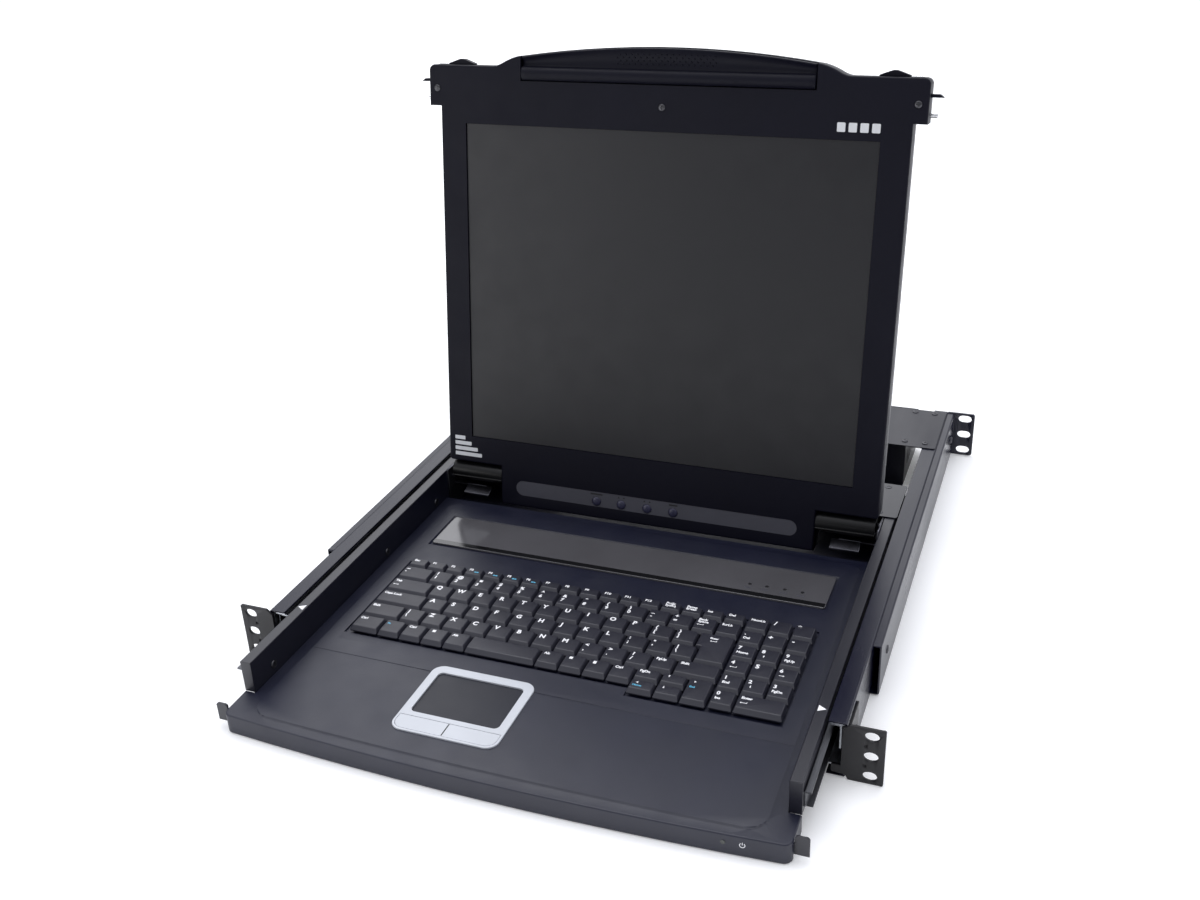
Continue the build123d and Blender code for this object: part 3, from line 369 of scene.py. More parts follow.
def rounded_rect(x0, x1, y0, y1, radius, z, steps=4):
    """Counter-clockwise rounded rectangle, in millimetres, as points in metres."""
    points = []
    for cx, cy, start in ((x1 - radius, y0 + radius, -90), (x1 - radius, y1 - radius, 0),
                          (x0 + radius, y1 - radius, 90), (x0 + radius, y0 + radius, 180)):
        for i in range(steps + 1):
            a = math.radians(start + 90 * i / steps)
            points.append(Vector((cx + radius * math.cos(a), cy + radius * math.sin(a), z)) * MM)
    return points


def text_bmesh(target, words, size, place):
    """Adds flat raised lettering, size in mm, that starts at a place."""
    curve = bpy.data.curves.new("lettering", "FONT")
    curve.body = words
    curve.size = size * MM
    curve.extrude = INK_HEIGHT * MM / 2
    curve.offset = 0.04 * size * MM
    curve.align_x = "LEFT"
    curve.align_y = "CENTER"
    curve.space_line = 0.8
    curve.resolution_u = 3
    obj = bpy.data.objects.new("lettering", curve)
    bpy.context.scene.collection.objects.link(obj)
    bpy.context.view_layer.update()
    mesh = bpy.data.meshes.new_from_object(obj)
    mesh.transform(Matrix.Translation(place))
    target.from_mesh(mesh)
    bpy.data.objects.remove(obj)
    bpy.data.curves.remove(curve)
    bpy.data.meshes.remove(mesh)


# ---- screws: domed heads with a cross recess --------------------------------------------------
def screw_head(radius, height, steps=24):
    """Pan head with a cross-shaped recess, on the XY plane, in millimetres."""
    bm = bmesh.new()
    arm, wide, deep = radius * 0.55, radius * 0.13, height * 0.55
    profile = [
        (radius, 0.0), (radius, height * 0.35), (radius * 0.93, height * 0.7), (radius * 0.75, height * 0.95),
    ]
    loops = []
    for r, z in profile:
        loops.append([
            Vector((r * math.cos(2 * math.pi * i / steps), r * math.sin(2 * math.pi * i / steps), z)) * MM
            for i in range(steps)
        ])
    cross = []
    for quarter in range(4):
        c, s = math.cos(math.pi / 2 * quarter), math.sin(math.pi / 2 * quarter)
        tip = ((arm, -wide), (arm, -wide * 0.4), (arm, 0), (arm, wide * 0.4), (arm, wide), (wide, wide))
        cross += [(px * c - py * s, px * s + py * c) for px, py in tip]
    loops.append([Vector((x, y, height)) * MM for x, y in cross])
    loops.append([Vector((x * 0.8, y * 0.8, height - deep)) * MM for x, y in cross])
    add_loops(bm, loops)
    return bm


def screws(name, body, replaced, heads):
    """Joins screw heads given as (place, outward direction, radius, height) into one piece."""
    bm = bmesh.new()
    for place, direction, radius, height in heads:
        turn = Vector(direction).to_track_quat("Z", "Y").to_matrix().to_4x4()
        head = screw_head(radius, height)
        join_bmesh(bm, head, Matrix.Translation(place) @ turn)
        head.free()
    mesh = mesh_from(bm, name)
    smooth(mesh, 40)
    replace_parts(new_object(name, mesh, SCREW, body), replaced)


# ---- kept CAD nodes with better materials ------------------------------------------------------
COATED = {
    "left_outer_slide": ZINC, "right_outer_slide": ZINC,
    "left_middle_slide": ZINC, "right_middle_slide": ZINC,
    # the inner slides carry the darkened zinc: painted shade in the gap between wall and rail
    "left_inner_slide": SHADED_ZINC, "right_inner_slide": SHADED_ZINC,
    "switch_board": BOARD, "power_supply": BOARD,
    "control_board": BOARD, "display_board": BOARD, "indicator_board": BOARD, "hinge_pins": PIN,
    # the hinge barrels carry near-black steel as painted shade under the hinge covers
    "left_hinge_barrel": SHADED_BARREL, "right_hinge_barrel": SHADED_BARREL, "locating_pins": PIN, "keyboard_base": HOUSING,
    "touchpad_surface": PAD, "display_panel": SCREEN, "power_led": LENS,
}
for node_name, finish_material in COATED.items():
    coat(node_name, finish_material)

# ---- CAD shapes with rounded edges ---------------------------------------------------------------
SOFTENED = {
    "left_side_rail": (RAIL_PAINT, 0.35), "right_side_rail": (RAIL_PAINT, 0.35),
    "left_front_ear": (EAR_PAINT, 0.4), "right_front_ear": (EAR_PAINT, 0.4),
    "left_rear_bracket": (RAIL_PAINT, 0.4), "right_rear_bracket": (RAIL_PAINT, 0.4),
    "switch_case": (CASE_PAINT, 0.3), "switch_cover": (CASE_PAINT, 0),
    "computer_ports": (PORT, 0.25), "power_inlet": (INLET, 0.35), "power_switch": (INLET, 0.4),
    "base_pan": (DRAWER_PAINT, 0.3),
    "left_side_wall": (DRAWER_PAINT, 0.4), "right_side_wall": (DRAWER_PAINT, 0.4),
    "rear_cover_plate": (DRAWER_PAINT, 0), "hinge_brackets": (BRACKET, 0.3),
    "keyboard_housing": (HOUSING, 0), "indicator_window": (WINDOW, 0.3), "touchpad_bezel": (SILVER, 0),
    "left_touch_button": (SILVER, 0.3), "right_touch_button": (SILVER, 0.3),
    "display_bezel": (BEZEL, 0), "display_back_cover": (COVER, 0.6), "hinge_covers": (HINGE_SKIN, 0.6),
    "left_latch": (GRIP, 0.3), "right_latch": (GRIP, 0.3),
}
for node_name, (finish_material, round_mm) in SOFTENED.items():
    softened(node_name, finish_material, round_mm)

# ---- keyboard -------------------------------------------------------------------------------------
KEY_GAP, CAP_CORNER = 0.9, 1.1    # mm between neighbouring caps, and a cap's corner radius
CAP_LOW = low_high("space_bar")[0].z / MM + 5.6
CAP_TOP = low_high("space_bar")[1].z / MM
KEY_LEFT = low_high("home_letter_keys")[0].x / MM - KEY_GAP / 2
UNIT = 18.3                   # mm from key to key
UPPER_RIGHT, HOME_RIGHT, MAIN_RIGHT = 89.15, 93.2, 116.7    # right ends of the letter rows and the block
ROWS = {                      # node: (front, back) of the main block's cells, in mm
    "function_keys": (118.7, 131.0), "number_keys": (100.4, 118.7), "upper_letter_keys": (82.1, 100.4),
    "home_letter_keys": (63.8, 82.1), "lower_letter_keys": (45.5, 63.8), "bottom_keys": (27.2, 45.5),
    "space_bar": (27.2, 45.5),
}
PAD_LEFT, PAD_PITCH_X, PAD_PITCH_Y, PAD_FRONT = 117.5, 17.6, 18.5, 20.0
ARROW_FRONT, ARROW_SPLIT = 18.7, 32.0


def cells(row, edges, legends):
    front, back = ROWS[row]
    return [(a, b, front, back, words) for a, b, words in zip(edges, edges[1:], legends)]


def run(start, count, pitch=UNIT):
    return [start + i * pitch for i in range(count + 1)]


def pad_cells(row, legends):
    front = PAD_FRONT + row * PAD_PITCH_Y
    return [
        (PAD_LEFT + i * PAD_PITCH_X, PAD_LEFT + (i + 1) * PAD_PITCH_X, front, front + PAD_PITCH_Y, words)
        for i, words in enumerate(legends)
    ]


# A legend is (upper words, lower words, blue words); an upper-only legend sits at the cap's upper left.
FUNCTION_LEGENDS = [("Esc",)] + [
    (f"F{i}", "", "o" if i in (3, 4, 5, 6) else "") for i in range(1, 13)
] + [("PrtSc\nSysRq",), ("Pause\nBreak",), ("Ins",), ("Del",)]
NUMBER_LEGENDS = [("~", "`")] + [(s, d) for s, d in zip("!@#$%^&*()_+", "1234567890-=")] + [
    ("Back\nSpace", "<-"), ("ScrLk",)]
KEY_CELLS = {
    "function_keys": cells("function_keys", run(KEY_LEFT, 17, (MAIN_RIGHT - KEY_LEFT) / 17), FUNCTION_LEGENDS)
    + pad_cells(5, [("NumLk",), ("/",), ("*",)]),
    "number_keys": cells("number_keys", [KEY_LEFT] + run(-139.5, 12) + [98.4, MAIN_RIGHT], NUMBER_LEGENDS)
    + pad_cells(4, [(".", "Del"), ("+",), ("-",)]),
    "upper_letter_keys": cells(
        "upper_letter_keys", [KEY_LEFT] + run(-130.45, 12),
        [("Tab", "<->")] + [(c,) for c in "QWERTYUIOP"] + [("{", "["), ("}", "]")],
    ) + pad_cells(3, [("7", "Home"), ("8", "^"), ("9", "PgUp")]),
    "home_letter_keys": cells(
        "home_letter_keys", [KEY_LEFT] + run(-126.4, 12),
        [("Caps Lock",)] + [(c,) for c in "ASDFGHJKL"] + [(":", ";"), ("\"", "'"), ("|", "\\")],
    ) + pad_cells(2, [("4", "<-"), ("5",), ("6", "->")]),
    "lower_letter_keys": cells(
        "lower_letter_keys", [KEY_LEFT, -135.9] + run(-117.6, 10) + [83.7, MAIN_RIGHT],
        [("Shift",), ("|", "\\")] + [(c,) for c in "ZXCVBNM"]
        + [("<", ","), (">", "."), ("?", "/"), ("PgUp",), ("Shift",)],
    ) + pad_cells(1, [("1", "End"), ("2", "v"), ("3", "PgDn")]),
    "bottom_keys": cells("bottom_keys", [KEY_LEFT, -143.4, -125.2, -106.9, -88.6, -70.3],
                         [("Ctrl",), ("", "", "Fn"), ("Ctrl",), ("#",), ("Alt",)])
    + cells("bottom_keys", [-14.3, 4.0, 22.3, 40.6, 58.9], [("Alt",), ("#",), ("=",), ("Ctrl",)])
    + [(58.9, 78.2, ARROW_SPLIT, 45.5, ("PgDn",)), (58.9, 78.2, ARROW_FRONT, ARROW_SPLIT, ("<", "", "Home"))]
    + [(78.2, 97.5, ARROW_SPLIT, 45.5, ("^",)), (78.2, 97.5, ARROW_FRONT, ARROW_SPLIT, ("v",))]
    + [(97.5, MAIN_RIGHT, ARROW_FRONT, 45.5, (">", "", "End"))]
    + [pad_cells(0, [("0", "Ins")])[0]]
    + [(PAD_LEFT + PAD_PITCH_X, PAD_LEFT + 3 * PAD_PITCH_X, PAD_FRONT, PAD_FRONT + PAD_PITCH_Y,
        ("Enter", "<-"))],
    "space_bar": cells("space_bar", [-70.3, -14.3], [("",)]),
}
# Levels of a cap: height above its skirt as a share, then insets at the sides, front and back, in mm.
CAP_LEVELS = ((0.0, 0.0, 0.0, 0.0), (0.24, 0.0, 0.0, 0.0), (0.30, 0.12, 0.22, 0.08), (0.84, 0.95, 2.3, 0.45),
              (0.93, 1.15, 2.6, 0.62), (0.985, 1.5, 2.95, 0.95), (1.0, 2.0, 3.4, 1.4))


def cap_loops(x0, x1, y0, y1):
    height = CAP_TOP - CAP_LOW
    loops = []
    for share, side, front, back in CAP_LEVELS:
        loops.append(rounded_rect(
            x0 + KEY_GAP / 2 + side, x1 - KEY_GAP / 2 - side,
            y0 + KEY_GAP / 2 + front, y1 - KEY_GAP / 2 - back,
            CAP_CORNER, CAP_LOW + share * height,
        ))
    return loops


def enter_loops():
    """The L-shaped enter key, over two rows."""
    height = CAP_TOP - CAP_LOW
    loops = []
    for share, side, front, back in CAP_LEVELS:
        left_up, left_low = UPPER_RIGHT + KEY_GAP / 2 + side, HOME_RIGHT + KEY_GAP / 2 + side
        right = MAIN_RIGHT - KEY_GAP / 2 - side
        (low, mid), (_, top) = ROWS["home_letter_keys"], ROWS["upper_letter_keys"]
        low, mid, top = low + KEY_GAP / 2 + front, mid + KEY_GAP / 2 + side, top - KEY_GAP / 2 - back
        corners = (
            (left_low, low), (right, low), (right, top), (left_up, top), (left_up, mid), (left_low, mid),
        )
        z = CAP_LOW + share * height
        loop = []
        for i, here in enumerate(corners):
            before, after = corners[i - 1], corners[(i + 1) % len(corners)]
            for other, shares in ((before, (1.0, 0.4)), (after, (0.4, 1.0))):
                for s in shares:
                    reach = 0.7 * s
                    dx, dy = other[0] - here[0], other[1] - here[1]
                    length = math.hypot(dx, dy)
                    x, y = here[0] + dx / length * reach, here[1] + dy / length * reach
                    loop.append(Vector((x, y, z)) * MM)
        loops.append(loop)
    return loops


ARROWS = {
    "<-": [(-2.6, 0), (-1.4, 0.8), (-1.4, 0.25), (2.2, 0.25), (2.2, 1.2), (2.6, 1.2), (2.6, -0.25),
           (-1.4, -0.25), (-1.4, -0.8)],
    "->": [(2.0, 0), (0.8, 0.8), (0.8, 0.25), (-2.0, 0.25), (-2.0, -0.25), (0.8, -0.25), (0.8, -0.8)],
    "<->": [(-2.6, 0), (-1.4, 0.8), (-1.4, 0.25), (1.4, 0.25), (1.4, 0.8), (2.6, 0), (1.4, -0.8),
            (1.4, -0.25), (-1.4, -0.25), (-1.4, -0.8)],
    "^": [(0, 1.1), (0.8, 0), (0.25, 0), (0.25, -1.4), (-0.25, -1.4), (-0.25, 0), (-0.8, 0)],
    "v": [(0, -1.1), (-0.8, 0), (-0.25, 0), (-0.25, 1.4), (0.25, 1.4), (0.25, 0), (0.8, 0)],
    "<": [(-1.0, 0), (0.7, 0.9), (0.7, -0.9)],
    ">": [(1.0, 0), (-0.7, 0.9), (-0.7, -0.9)],
    "#": [(-1.3, -1.3), (1.3, -1.3), (1.3, 1.3), (-1.3, 1.3)],
    "=": [(-1.2, -1.5), (1.2, -1.5), (1.2, 1.5), (-1.2, 1.5)],
}
PLAIN_SIGNS = ("<", ">", "=", "^")  # characters on the main block, shapes on the arrow keys and the pad
INK_Z = CAP_TOP * MM - 0.00001      # printed signs start just inside the cap


def flat_sign(target, outline, place, height=INK_HEIGHT, scale=1.0, axes=Matrix.Identity(4)):
    """Adds a thin printed shape, outline in mm, at a place."""
    bm = bmesh.new()
    low = [Vector((x * scale, y * scale, 0)) * MM for x, y in outline]
    high = [p + Vector((0, 0, height * MM)) for p in low]
    if sum(a.x * b.y - b.x * a.y for a, b in zip(low, low[1:] + low[:1])) < 0:
        low.reverse()
        high.reverse()
    add_loops(bm, [low, high])
    join_bmesh(target, bm, Matrix.Translation(place) @ axes)
    bm.free()


def legend(white, blue, cell, arrow_block):
    """Prints one key's legend on its cap."""
    x0, _, y0, y1, words = cell
    upper, lower, blue_words = (*words, "", "")[:3]
    shallow = y1 - y0 < 15
    left = x0 + 3.4
    back = y1 - (3.4 if shallow else 4.4)
    for text, y in ((upper, back), (lower, back - 5.4)):
        if not text:
            continue
        if text in ARROWS and (arrow_block or text not in PLAIN_SIGNS):
            flat_sign(white, ARROWS[text], Vector(((left + 2.6) * MM, y * MM, INK_Z)))
        else:
            size = 3.5 if len(text) > 1 else 5.0 if lower else 6.0
            text_bmesh(white, text, size, Vector((left * MM, y * MM, INK_Z)))
    if blue_words == "o":
        spot = Vector(((x0 + 10.6) * MM, (back - 2.4) * MM, INK_Z))
        for ring in range(2):
            outline = [(1.5 * math.cos(a * math.pi / 3) - 1.6 + ring * 2.6, 1.1 * math.sin(a * math.pi / 3))
                       for a in range(6)]
            flat_sign(blue, outline, spot, scale=0.75)
    elif blue_words:
        y = back - (3.2 if shallow else 6.0) if upper else back - 1.0
        text_bmesh(blue, blue_words, 2.6, Vector((left * MM, y * MM, INK_Z)))


for row_node, row_cells in KEY_CELLS.items():
    body, slot = body_of_node(row_node), slot_of_node(row_node)
    caps, white, blue = bmesh.new(), bmesh.new(), bmesh.new()
    for cell in row_cells:
        add_loops(caps, cap_loops(*cell[:4]))
        legend(white, blue, cell, row_node == "bottom_keys" or cell[0] > MAIN_RIGHT)
    if row_node == "home_letter_keys":
        add_loops(caps, enter_loops())
        spot = Vector((0.0985, 0.0945, INK_Z))
        text_bmesh(white, "Enter", 2.8, spot)
        flat_sign(white, ARROWS["<-"], spot + Vector((0.0032, -0.0036, 0)))
    mesh = mesh_from(caps, f"{row_node}_caps")
    smooth(mesh, 28)
    piece = new_object(f"{row_node}_caps", mesh, KEYS, body)
    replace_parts(piece, row_node)
    for ink, ink_bm, ink_material in (("white", white, WHITE_INK), ("blue", blue, BLUE_INK)):
        if ink_bm.verts:
            new_object(f"{row_node}_{ink}_legends", mesh_from(ink_bm, "legends"), ink_material, body)
        else:
            ink_bm.free()

# ---- handle -----------------------------------------------------------------------------------------
GRIP_HALF = (low_high("handle_grip")[1].x - 0.0006) / MM
ARCH_HALF, ARCH_SHOULDER, ARCH_TOP = 122.0, 362.0, 371.0
ARCH_RADIUS = (ARCH_HALF ** 2 + (ARCH_TOP - ARCH_SHOULDER) ** 2) / (2 * (ARCH_TOP - ARCH_SHOULDER))
BAR_V, BAR_W, BAR_R, BAR_TALL = 348.9, 8.4, 3.7, 5.2    # mm: the roll under the fingers
GRIP_FOOT, GRIP_BACK = 343.7, 3.1
FACE_START, FACE_DIP = 354.6, 5.9


def arch_v(x):
    """Height of the display's top arch above the hinge axis, in mm."""
    return ARCH_TOP - ARCH_RADIUS + math.sqrt(ARCH_RADIUS ** 2 - x ** 2)


def face_w(share):
    """Depth of the scooped face, by its share of the way up to the arch."""
    return FACE_DIP + 2.3 * (2 * share - 0.75) ** 2 * (1 if share > 0.375 else 0.8)


def grip_profile(x):
    """Closed section of the handle at x, in the display's frame."""
    top = arch_v(x) - 0.7
    points = [(GRIP_FOOT, GRIP_BACK), (GRIP_FOOT, 7.4)]
    for i in range(9):
        a = math.radians(-80 + 160 * i / 8)
        points.append((BAR_V + BAR_TALL * math.sin(a), BAR_W + BAR_R * math.cos(a)))
    for i in range(9):
        share = i / 8
        points.append((FACE_START + share * (top - 1.0 - FACE_START), face_w(share)))
    return points + [(top - 0.3, face_w(1.0) - 0.3), (top, face_w(1.0) - 1.0), (top, GRIP_BACK)]


def make_grip():
    bm = bmesh.new()
    stations = 56
    ends = (0.0, 0.35)
    xs = [-GRIP_HALF + e for e in ends] + [
        -GRIP_HALF + 1 + (2 * GRIP_HALF - 2) * i / stations for i in range(stations + 1)
    ] + [GRIP_HALF - e for e in reversed(ends)]
    loops = []
    for x in xs:
        edge = min(x + GRIP_HALF, GRIP_HALF - x)
        pull = 0.8 * (1 - min(edge, 1.0)) ** 2
        loops.append([on_display(x, v, w - pull if w > 4 else w) for v, w in grip_profile(x)])
    add_loops(bm, loops)
    bmesh.ops.recalc_face_normals(bm, faces=bm.faces)
    mesh = mesh_from(bm, "handle_body")
    smooth(mesh, 40)
    body = new_object("handle_body", mesh, GRIP, "display")
    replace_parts(body, "handle_grip")
    dots = bmesh.new()
    for row in range(4):
        for column in range(-8, 9):
            x = column * 4.8 + (2.4 if row % 2 else 0)
            share = 0.24 + 0.17 * row
            v = FACE_START + share * (arch_v(x) - 1.7 - FACE_START)
            ball = bmesh.new()
            bmesh.ops.create_uvsphere(ball, u_segments=12, v_segments=6, radius=0.75 * MM)
            flat = Matrix.Diagonal((1, 1, 0.7, 1))
            place = Matrix.Translation(on_display(x, v, face_w(share) + 0.05))
            join_bmesh(dots, ball, place @ DISPLAY_AXES @ flat)
            ball.free()
    mesh = mesh_from(dots, "handle_dots")
    smooth(mesh, 60)
    new_object("handle_dots", mesh, GRIP, "display")


make_grip()


# ---- thin printed or inlaid plates --------------------------------------------------------------------
def rounded_plate(target, half_x, half_y, radius, thick, place, axes=Matrix.Identity(4), edge=0.08):
    """Adds a thin plate with rounded corners and a small edge chamfer, sizes in mm."""
    bm = bmesh.new()
    loops = [rounded_rect(-half_x, half_x, -half_y, half_y, radius, 0, 6),
             rounded_rect(-half_x, half_x, -half_y, half_y, radius, thick - edge, 6),
             rounded_rect(-half_x + edge, half_x - edge, -half_y + edge, half_y - edge, radius - edge,
                          thick, 6)]
    add_loops(bm, loops)
    join_bmesh(target, bm, Matrix.Translation(place) @ axes)
    bm.free()


STRIP_V, STRIP_HALF, STRIP_TALL = -4.0, 126.2, 6.8
BUTTON_X = [
    (low_high(f"menu_button_{n}")[0].x + low_high(f"menu_button_{n}")[1].x) / 2 / MM for n in range(1, 5)
]
BUTTON_V = -6.0


def make_menu_strip():
    bm = bmesh.new()
    outer = rounded_rect(
        -STRIP_HALF, STRIP_HALF, STRIP_V - STRIP_TALL, STRIP_V + STRIP_TALL, STRIP_TALL - 0.01, 0, 10,
    )
    axes = Matrix.Translation(on_display(0, 0, FACE_W - 0.49)) @ DISPLAY_AXES
    low = [axes @ p for p in outer]
    high = [axes @ (p + Vector((0, 0, 0.22 * MM))) for p in outer]
    add_loops(bm, [low, high])
    strip = new_object("menu_strip", mesh_from(bm, "menu_strip"), STRIP, "display")
    for x in BUTTON_X:
        cutter = bmesh.new()
        bmesh.ops.create_cone(cutter, segments=40, radius1=4.25 * MM, radius2=4.25 * MM, depth=4 * MM,
                              cap_ends=True)
        bmesh.ops.transform(cutter, matrix=Matrix.Translation(on_display(x, BUTTON_V, FACE_W)) @ DISPLAY_AXES,
                            verts=cutter.verts)
        tool = bpy.data.objects.new("hole", mesh_from(cutter, "hole"))
        bpy.context.scene.collection.objects.link(tool)
        cut = strip.modifiers.new("hole", "BOOLEAN")
        cut.object = tool
        cut.operation = "DIFFERENCE"
        bpy.context.view_layer.update()
        done = bpy.data.meshes.new_from_object(strip.evaluated_get(bpy.context.evaluated_depsgraph_get()))
        strip.modifiers.clear()
        strip.data = done
        bpy.data.objects.remove(tool)
    strip.data.materials.clear()
    strip.data.materials.append(STRIP)
    marks = bmesh.new()
    for index, x in enumerate(BUTTON_X):
        above = on_display(x, BUTTON_V + 6.6, FACE_W - 0.28)
        if index in (0, 3):
            rounded_plate(marks, 5.5 if index == 0 else 3.8, 0.7, 0.3, 0.05, above, DISPLAY_AXES, 0.02)
        else:
            for side in (-2.4, 2.4):
                triangle = [(side - 1.0, -0.8), (side + 1.0, -0.8), (side, 0.9)]
                flat_sign(marks, triangle, above, 0.05, 1.0, DISPLAY_AXES)
    new_object("menu_marks", mesh_from(marks, "menu_marks"), DARK_INK, "display")


make_menu_strip()


DOME_PROFILE = (              # (radius, height) in mm
    (3.9, -2.5), (4.0, -2.3), (4.0, 0.15), (3.8, 0.5), (3.2, 0.85), (2.2, 1.12), (1.0, 1.24), (0.3, 1.26),
)


def make_dome_button(number, x):
    """Domed menu button with a soft shoulder."""
    bm = bmesh.new()
    steps = 32
    loops = []
    for r, w in DOME_PROFILE:
        loops.append([on_display(x, BUTTON_V, FACE_W) + DISPLAY_AXES.to_3x3() @ (Vector((
            r * math.cos(2 * math.pi * i / steps), r * math.sin(2 * math.pi * i / steps), w - 0.36)) * MM)
            for i in range(steps)])
    add_loops(bm, loops)
    mesh = mesh_from(bm, f"menu_dome_{number}")
    smooth(mesh, 50)
    dome = new_object(f"menu_dome_{number}", mesh, DOME, f"menu_{number}")
    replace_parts(dome, f"menu_button_{number}")


for index, button_x in enumerate(BUTTON_X, start=1):
    make_dome_button(index, button_x)

# ---- plain blocks and bars in place of printed marks ----------------------------------------------------
BADGE_X, BADGE_STEP, BADGE_V = 139.5, 8.6, 317.5
LABEL_LEFT, LABEL_V, LABEL_STEP = -185.5, 36.0, 5.0
badge = bmesh.new()
for index in range(4):
    place = on_display(BADGE_X + index * BADGE_STEP, BADGE_V, FACE_W - 0.02)
    rounded_plate(badge, 3.1, 3.4, 0.8, 0.12, place, DISPLAY_AXES, 0.03)
new_object("plain_badge", mesh_from(badge, "plain_badge"), PALE_LABEL, "display")
label = bmesh.new()
for index, half in enumerate((5.0, 8.0, 11.0, 13.0)):
    place = on_display(LABEL_LEFT + half, LABEL_V - index * LABEL_STEP, FACE_W - 0.02)
    rounded_plate(label, half, 1.7, 0.6, 0.1, place, DISPLAY_AXES, 0.03)
new_object("plain_label", mesh_from(label, "plain_label"), PALE_LABEL, "display")

# ---- touchpad: dark joint between the two buttons -------------------------------------------------------
BUTTON_LOW, BUTTON_HIGH = low_high("left_touch_button")
SPLIT_X = (BUTTON_HIGH.x + low_high("right_touch_button")[0].x) / 2
joint = bmesh.new()
rounded_plate(joint, 0.45, (BUTTON_HIGH.y - BUTTON_LOW.y) / 2 / MM - 0.5, 0.2, 0.05,
              Vector((SPLIT_X, (BUTTON_LOW.y + BUTTON_HIGH.y) / 2, BUTTON_HIGH.z - 0.00001)), edge=0.02)
new_object("button_joint", mesh_from(joint, "button_joint"), DARK_INK, "drawer")

# ---- latches: ribs on the thumb pieces ---------------------------------------------------------------
RIB_X, RIB_STEP, RIB_V, RIB_R, RIB_LENGTH = 187.5, 1.5, 354.0, 0.45, 5.0
for side, tag in ((-1, "left"), (1, "right")):
    ribs = bmesh.new()
    for i in range(6):
        x = side * (RIB_X + i * RIB_STEP)
        bm = bmesh.new()
        bmesh.ops.create_cone(bm, segments=12, radius1=RIB_R * MM, radius2=RIB_R * MM, depth=RIB_LENGTH * MM,
                              cap_ends=True)
        join_bmesh(ribs, bm, Matrix.Translation(on_display(x, RIB_V, 0.4)) @ DISPLAY_AXES)
        bm.free()
    mesh = mesh_from(ribs, f"{tag}_grip_ribs")
    smooth(mesh, 40)
    new_object(f"{tag}_grip_ribs", mesh, BEZEL, "display")

# ---- drawer marks --------------------------------------------------------------------------------------
WALL_TOP = low_high("left_side_wall")[1].z
marks = bmesh.new()
for side in (-1, 1):
    spot = Vector((side * 0.1974, 0.015, WALL_TOP - 0.00002))
    flat_sign(marks, [(-2.6 * side, 3.2), (-2.6 * side, -3.2), (2.8 * side, 0)], spot)
new_object("slide_marks", mesh_from(marks, "slide_marks"), WHITE_INK, "drawer")

WINDOW_LOW, WINDOW_HIGH = low_high("indicator_window")
WINDOW_TOP = WINDOW_HIGH.z
band = bmesh.new()
rounded_plate(band, (WINDOW_HIGH.x - WINDOW_LOW.x) / 2 / MM - 0.5, 2.6, 0.6, 0.05,
              Vector((0, WINDOW_LOW.y + 0.0031, WINDOW_TOP - 0.00002)), edge=0.02)
new_object("window_band", mesh_from(band, "window_band"), BAND, "drawer")
LAMP_X, LAMP_Y = (0.1053, 0.1189, 0.1333, 0.1472), 0.1808
lamps, captions = bmesh.new(), bmesh.new()
for x in LAMP_X:
    bm = bmesh.new()
    bmesh.ops.create_cone(bm, segments=24, radius1=1.5 * MM, radius2=1.35 * MM, depth=0.3 * MM, cap_ends=True)
    join_bmesh(lamps, bm, Matrix.Translation((x, LAMP_Y, WINDOW_TOP + 0.00005)))
    bm.free()
    rounded_plate(captions, 2.9, 0.7, 0.3, 0.05, Vector((x - 0.0005, LAMP_Y - 0.0052, WINDOW_TOP - 0.00001)),
                  edge=0.02)
new_object("lamp_dots", mesh_from(lamps, "lamp_dots"), DARK_INK, "drawer")
new_object("lamp_captions", mesh_from(captions, "lamp_captions"), STRIP, "drawer")

# ---- power sign beside the lamp on the lip --------------------------------------------------------------
LED_LOW, LED_HIGH = low_high("power_led")
LIP_FRONT, LIP_BOW, LIP_HALF = -93.0, 7.5, 201.7    # mm: foremost point, depth and half width of the bow
SIGN_SLOPE = math.atan2(2 * LIP_BOW * 168, LIP_HALF ** 2)


def make_power_sign():
    bm = bmesh.new()
    ring = bmesh.new()
    outer, inner, gap = 1.9, 1.45, 35
    loops = []
    for i in range(25):
        a = math.radians(90 + gap + (360 - 2 * gap) * i / 24)
        loops.append([Vector((r * math.cos(a), r * math.sin(a), z)) * MM
                      for r, z in ((inner, 0), (outer, 0), (outer, 0.06), (inner, 0.06))])
    add_loops(ring, loops)
    bmesh.ops.recalc_face_normals(ring, faces=ring.faces)
    x = LED_HIGH.x / MM + 9.5
    y = LIP_FRONT + LIP_BOW * (x / LIP_HALF) ** 2
    place = Vector((x * MM, (y - 0.02) * MM, (LED_LOW.z + LED_HIGH.z) / 2))
    axes = Matrix.Rotation(SIGN_SLOPE, 4, "Z") @ Matrix.Rotation(math.pi / 2, 4, "X")
    join_bmesh(bm, ring, Matrix.Translation(place) @ axes)
    ring.free()
    flat_sign(bm, [(-0.22, 0.2), (0.22, 0.2), (0.22, 2.2), (-0.22, 2.2)], place, 0.06, 1.0, axes)
    new_object("power_sign", mesh_from(bm, "power_sign"), WHITE_INK, "drawer")


make_power_sign()

# ---- screws ---------------------------------------------------------------------------------------------
BEZEL_HEADS = [
    (on_display(x, v, FACE_W), OUT, 2.7, 0.9) for x, v in ((-194.0, 335.5), (194.0, 335.5), (0.0, 326.6))
]
screws("bezel_screw_heads", "display", "bezel_screws", BEZEL_HEADS)
COVER_TOP = low_high("rear_cover_plate")[1].z
COVER_HEAD = 0.5              # mm; low heads, because the drawer's rear plate slides under the switch cover
DRAWER_HEADS = [
    (Vector((side * 0.188, y, COVER_TOP)), (0, 0, 1), 2.8, COVER_HEAD)
    for side in (-1, 1) for y in (0.279, 0.3235)
] + [
    (Vector((side * 0.1931, y, FLOOR_Z + z)), (-side, 0, 0), 3.3, 0.9)
    for side in (-1, 1) for y, z in ((-0.033, 0.023), (0.134, 0.021), (0.222, 0.021))
]
screws("drawer_screw_heads", "drawer", "drawer_screws", DRAWER_HEADS)
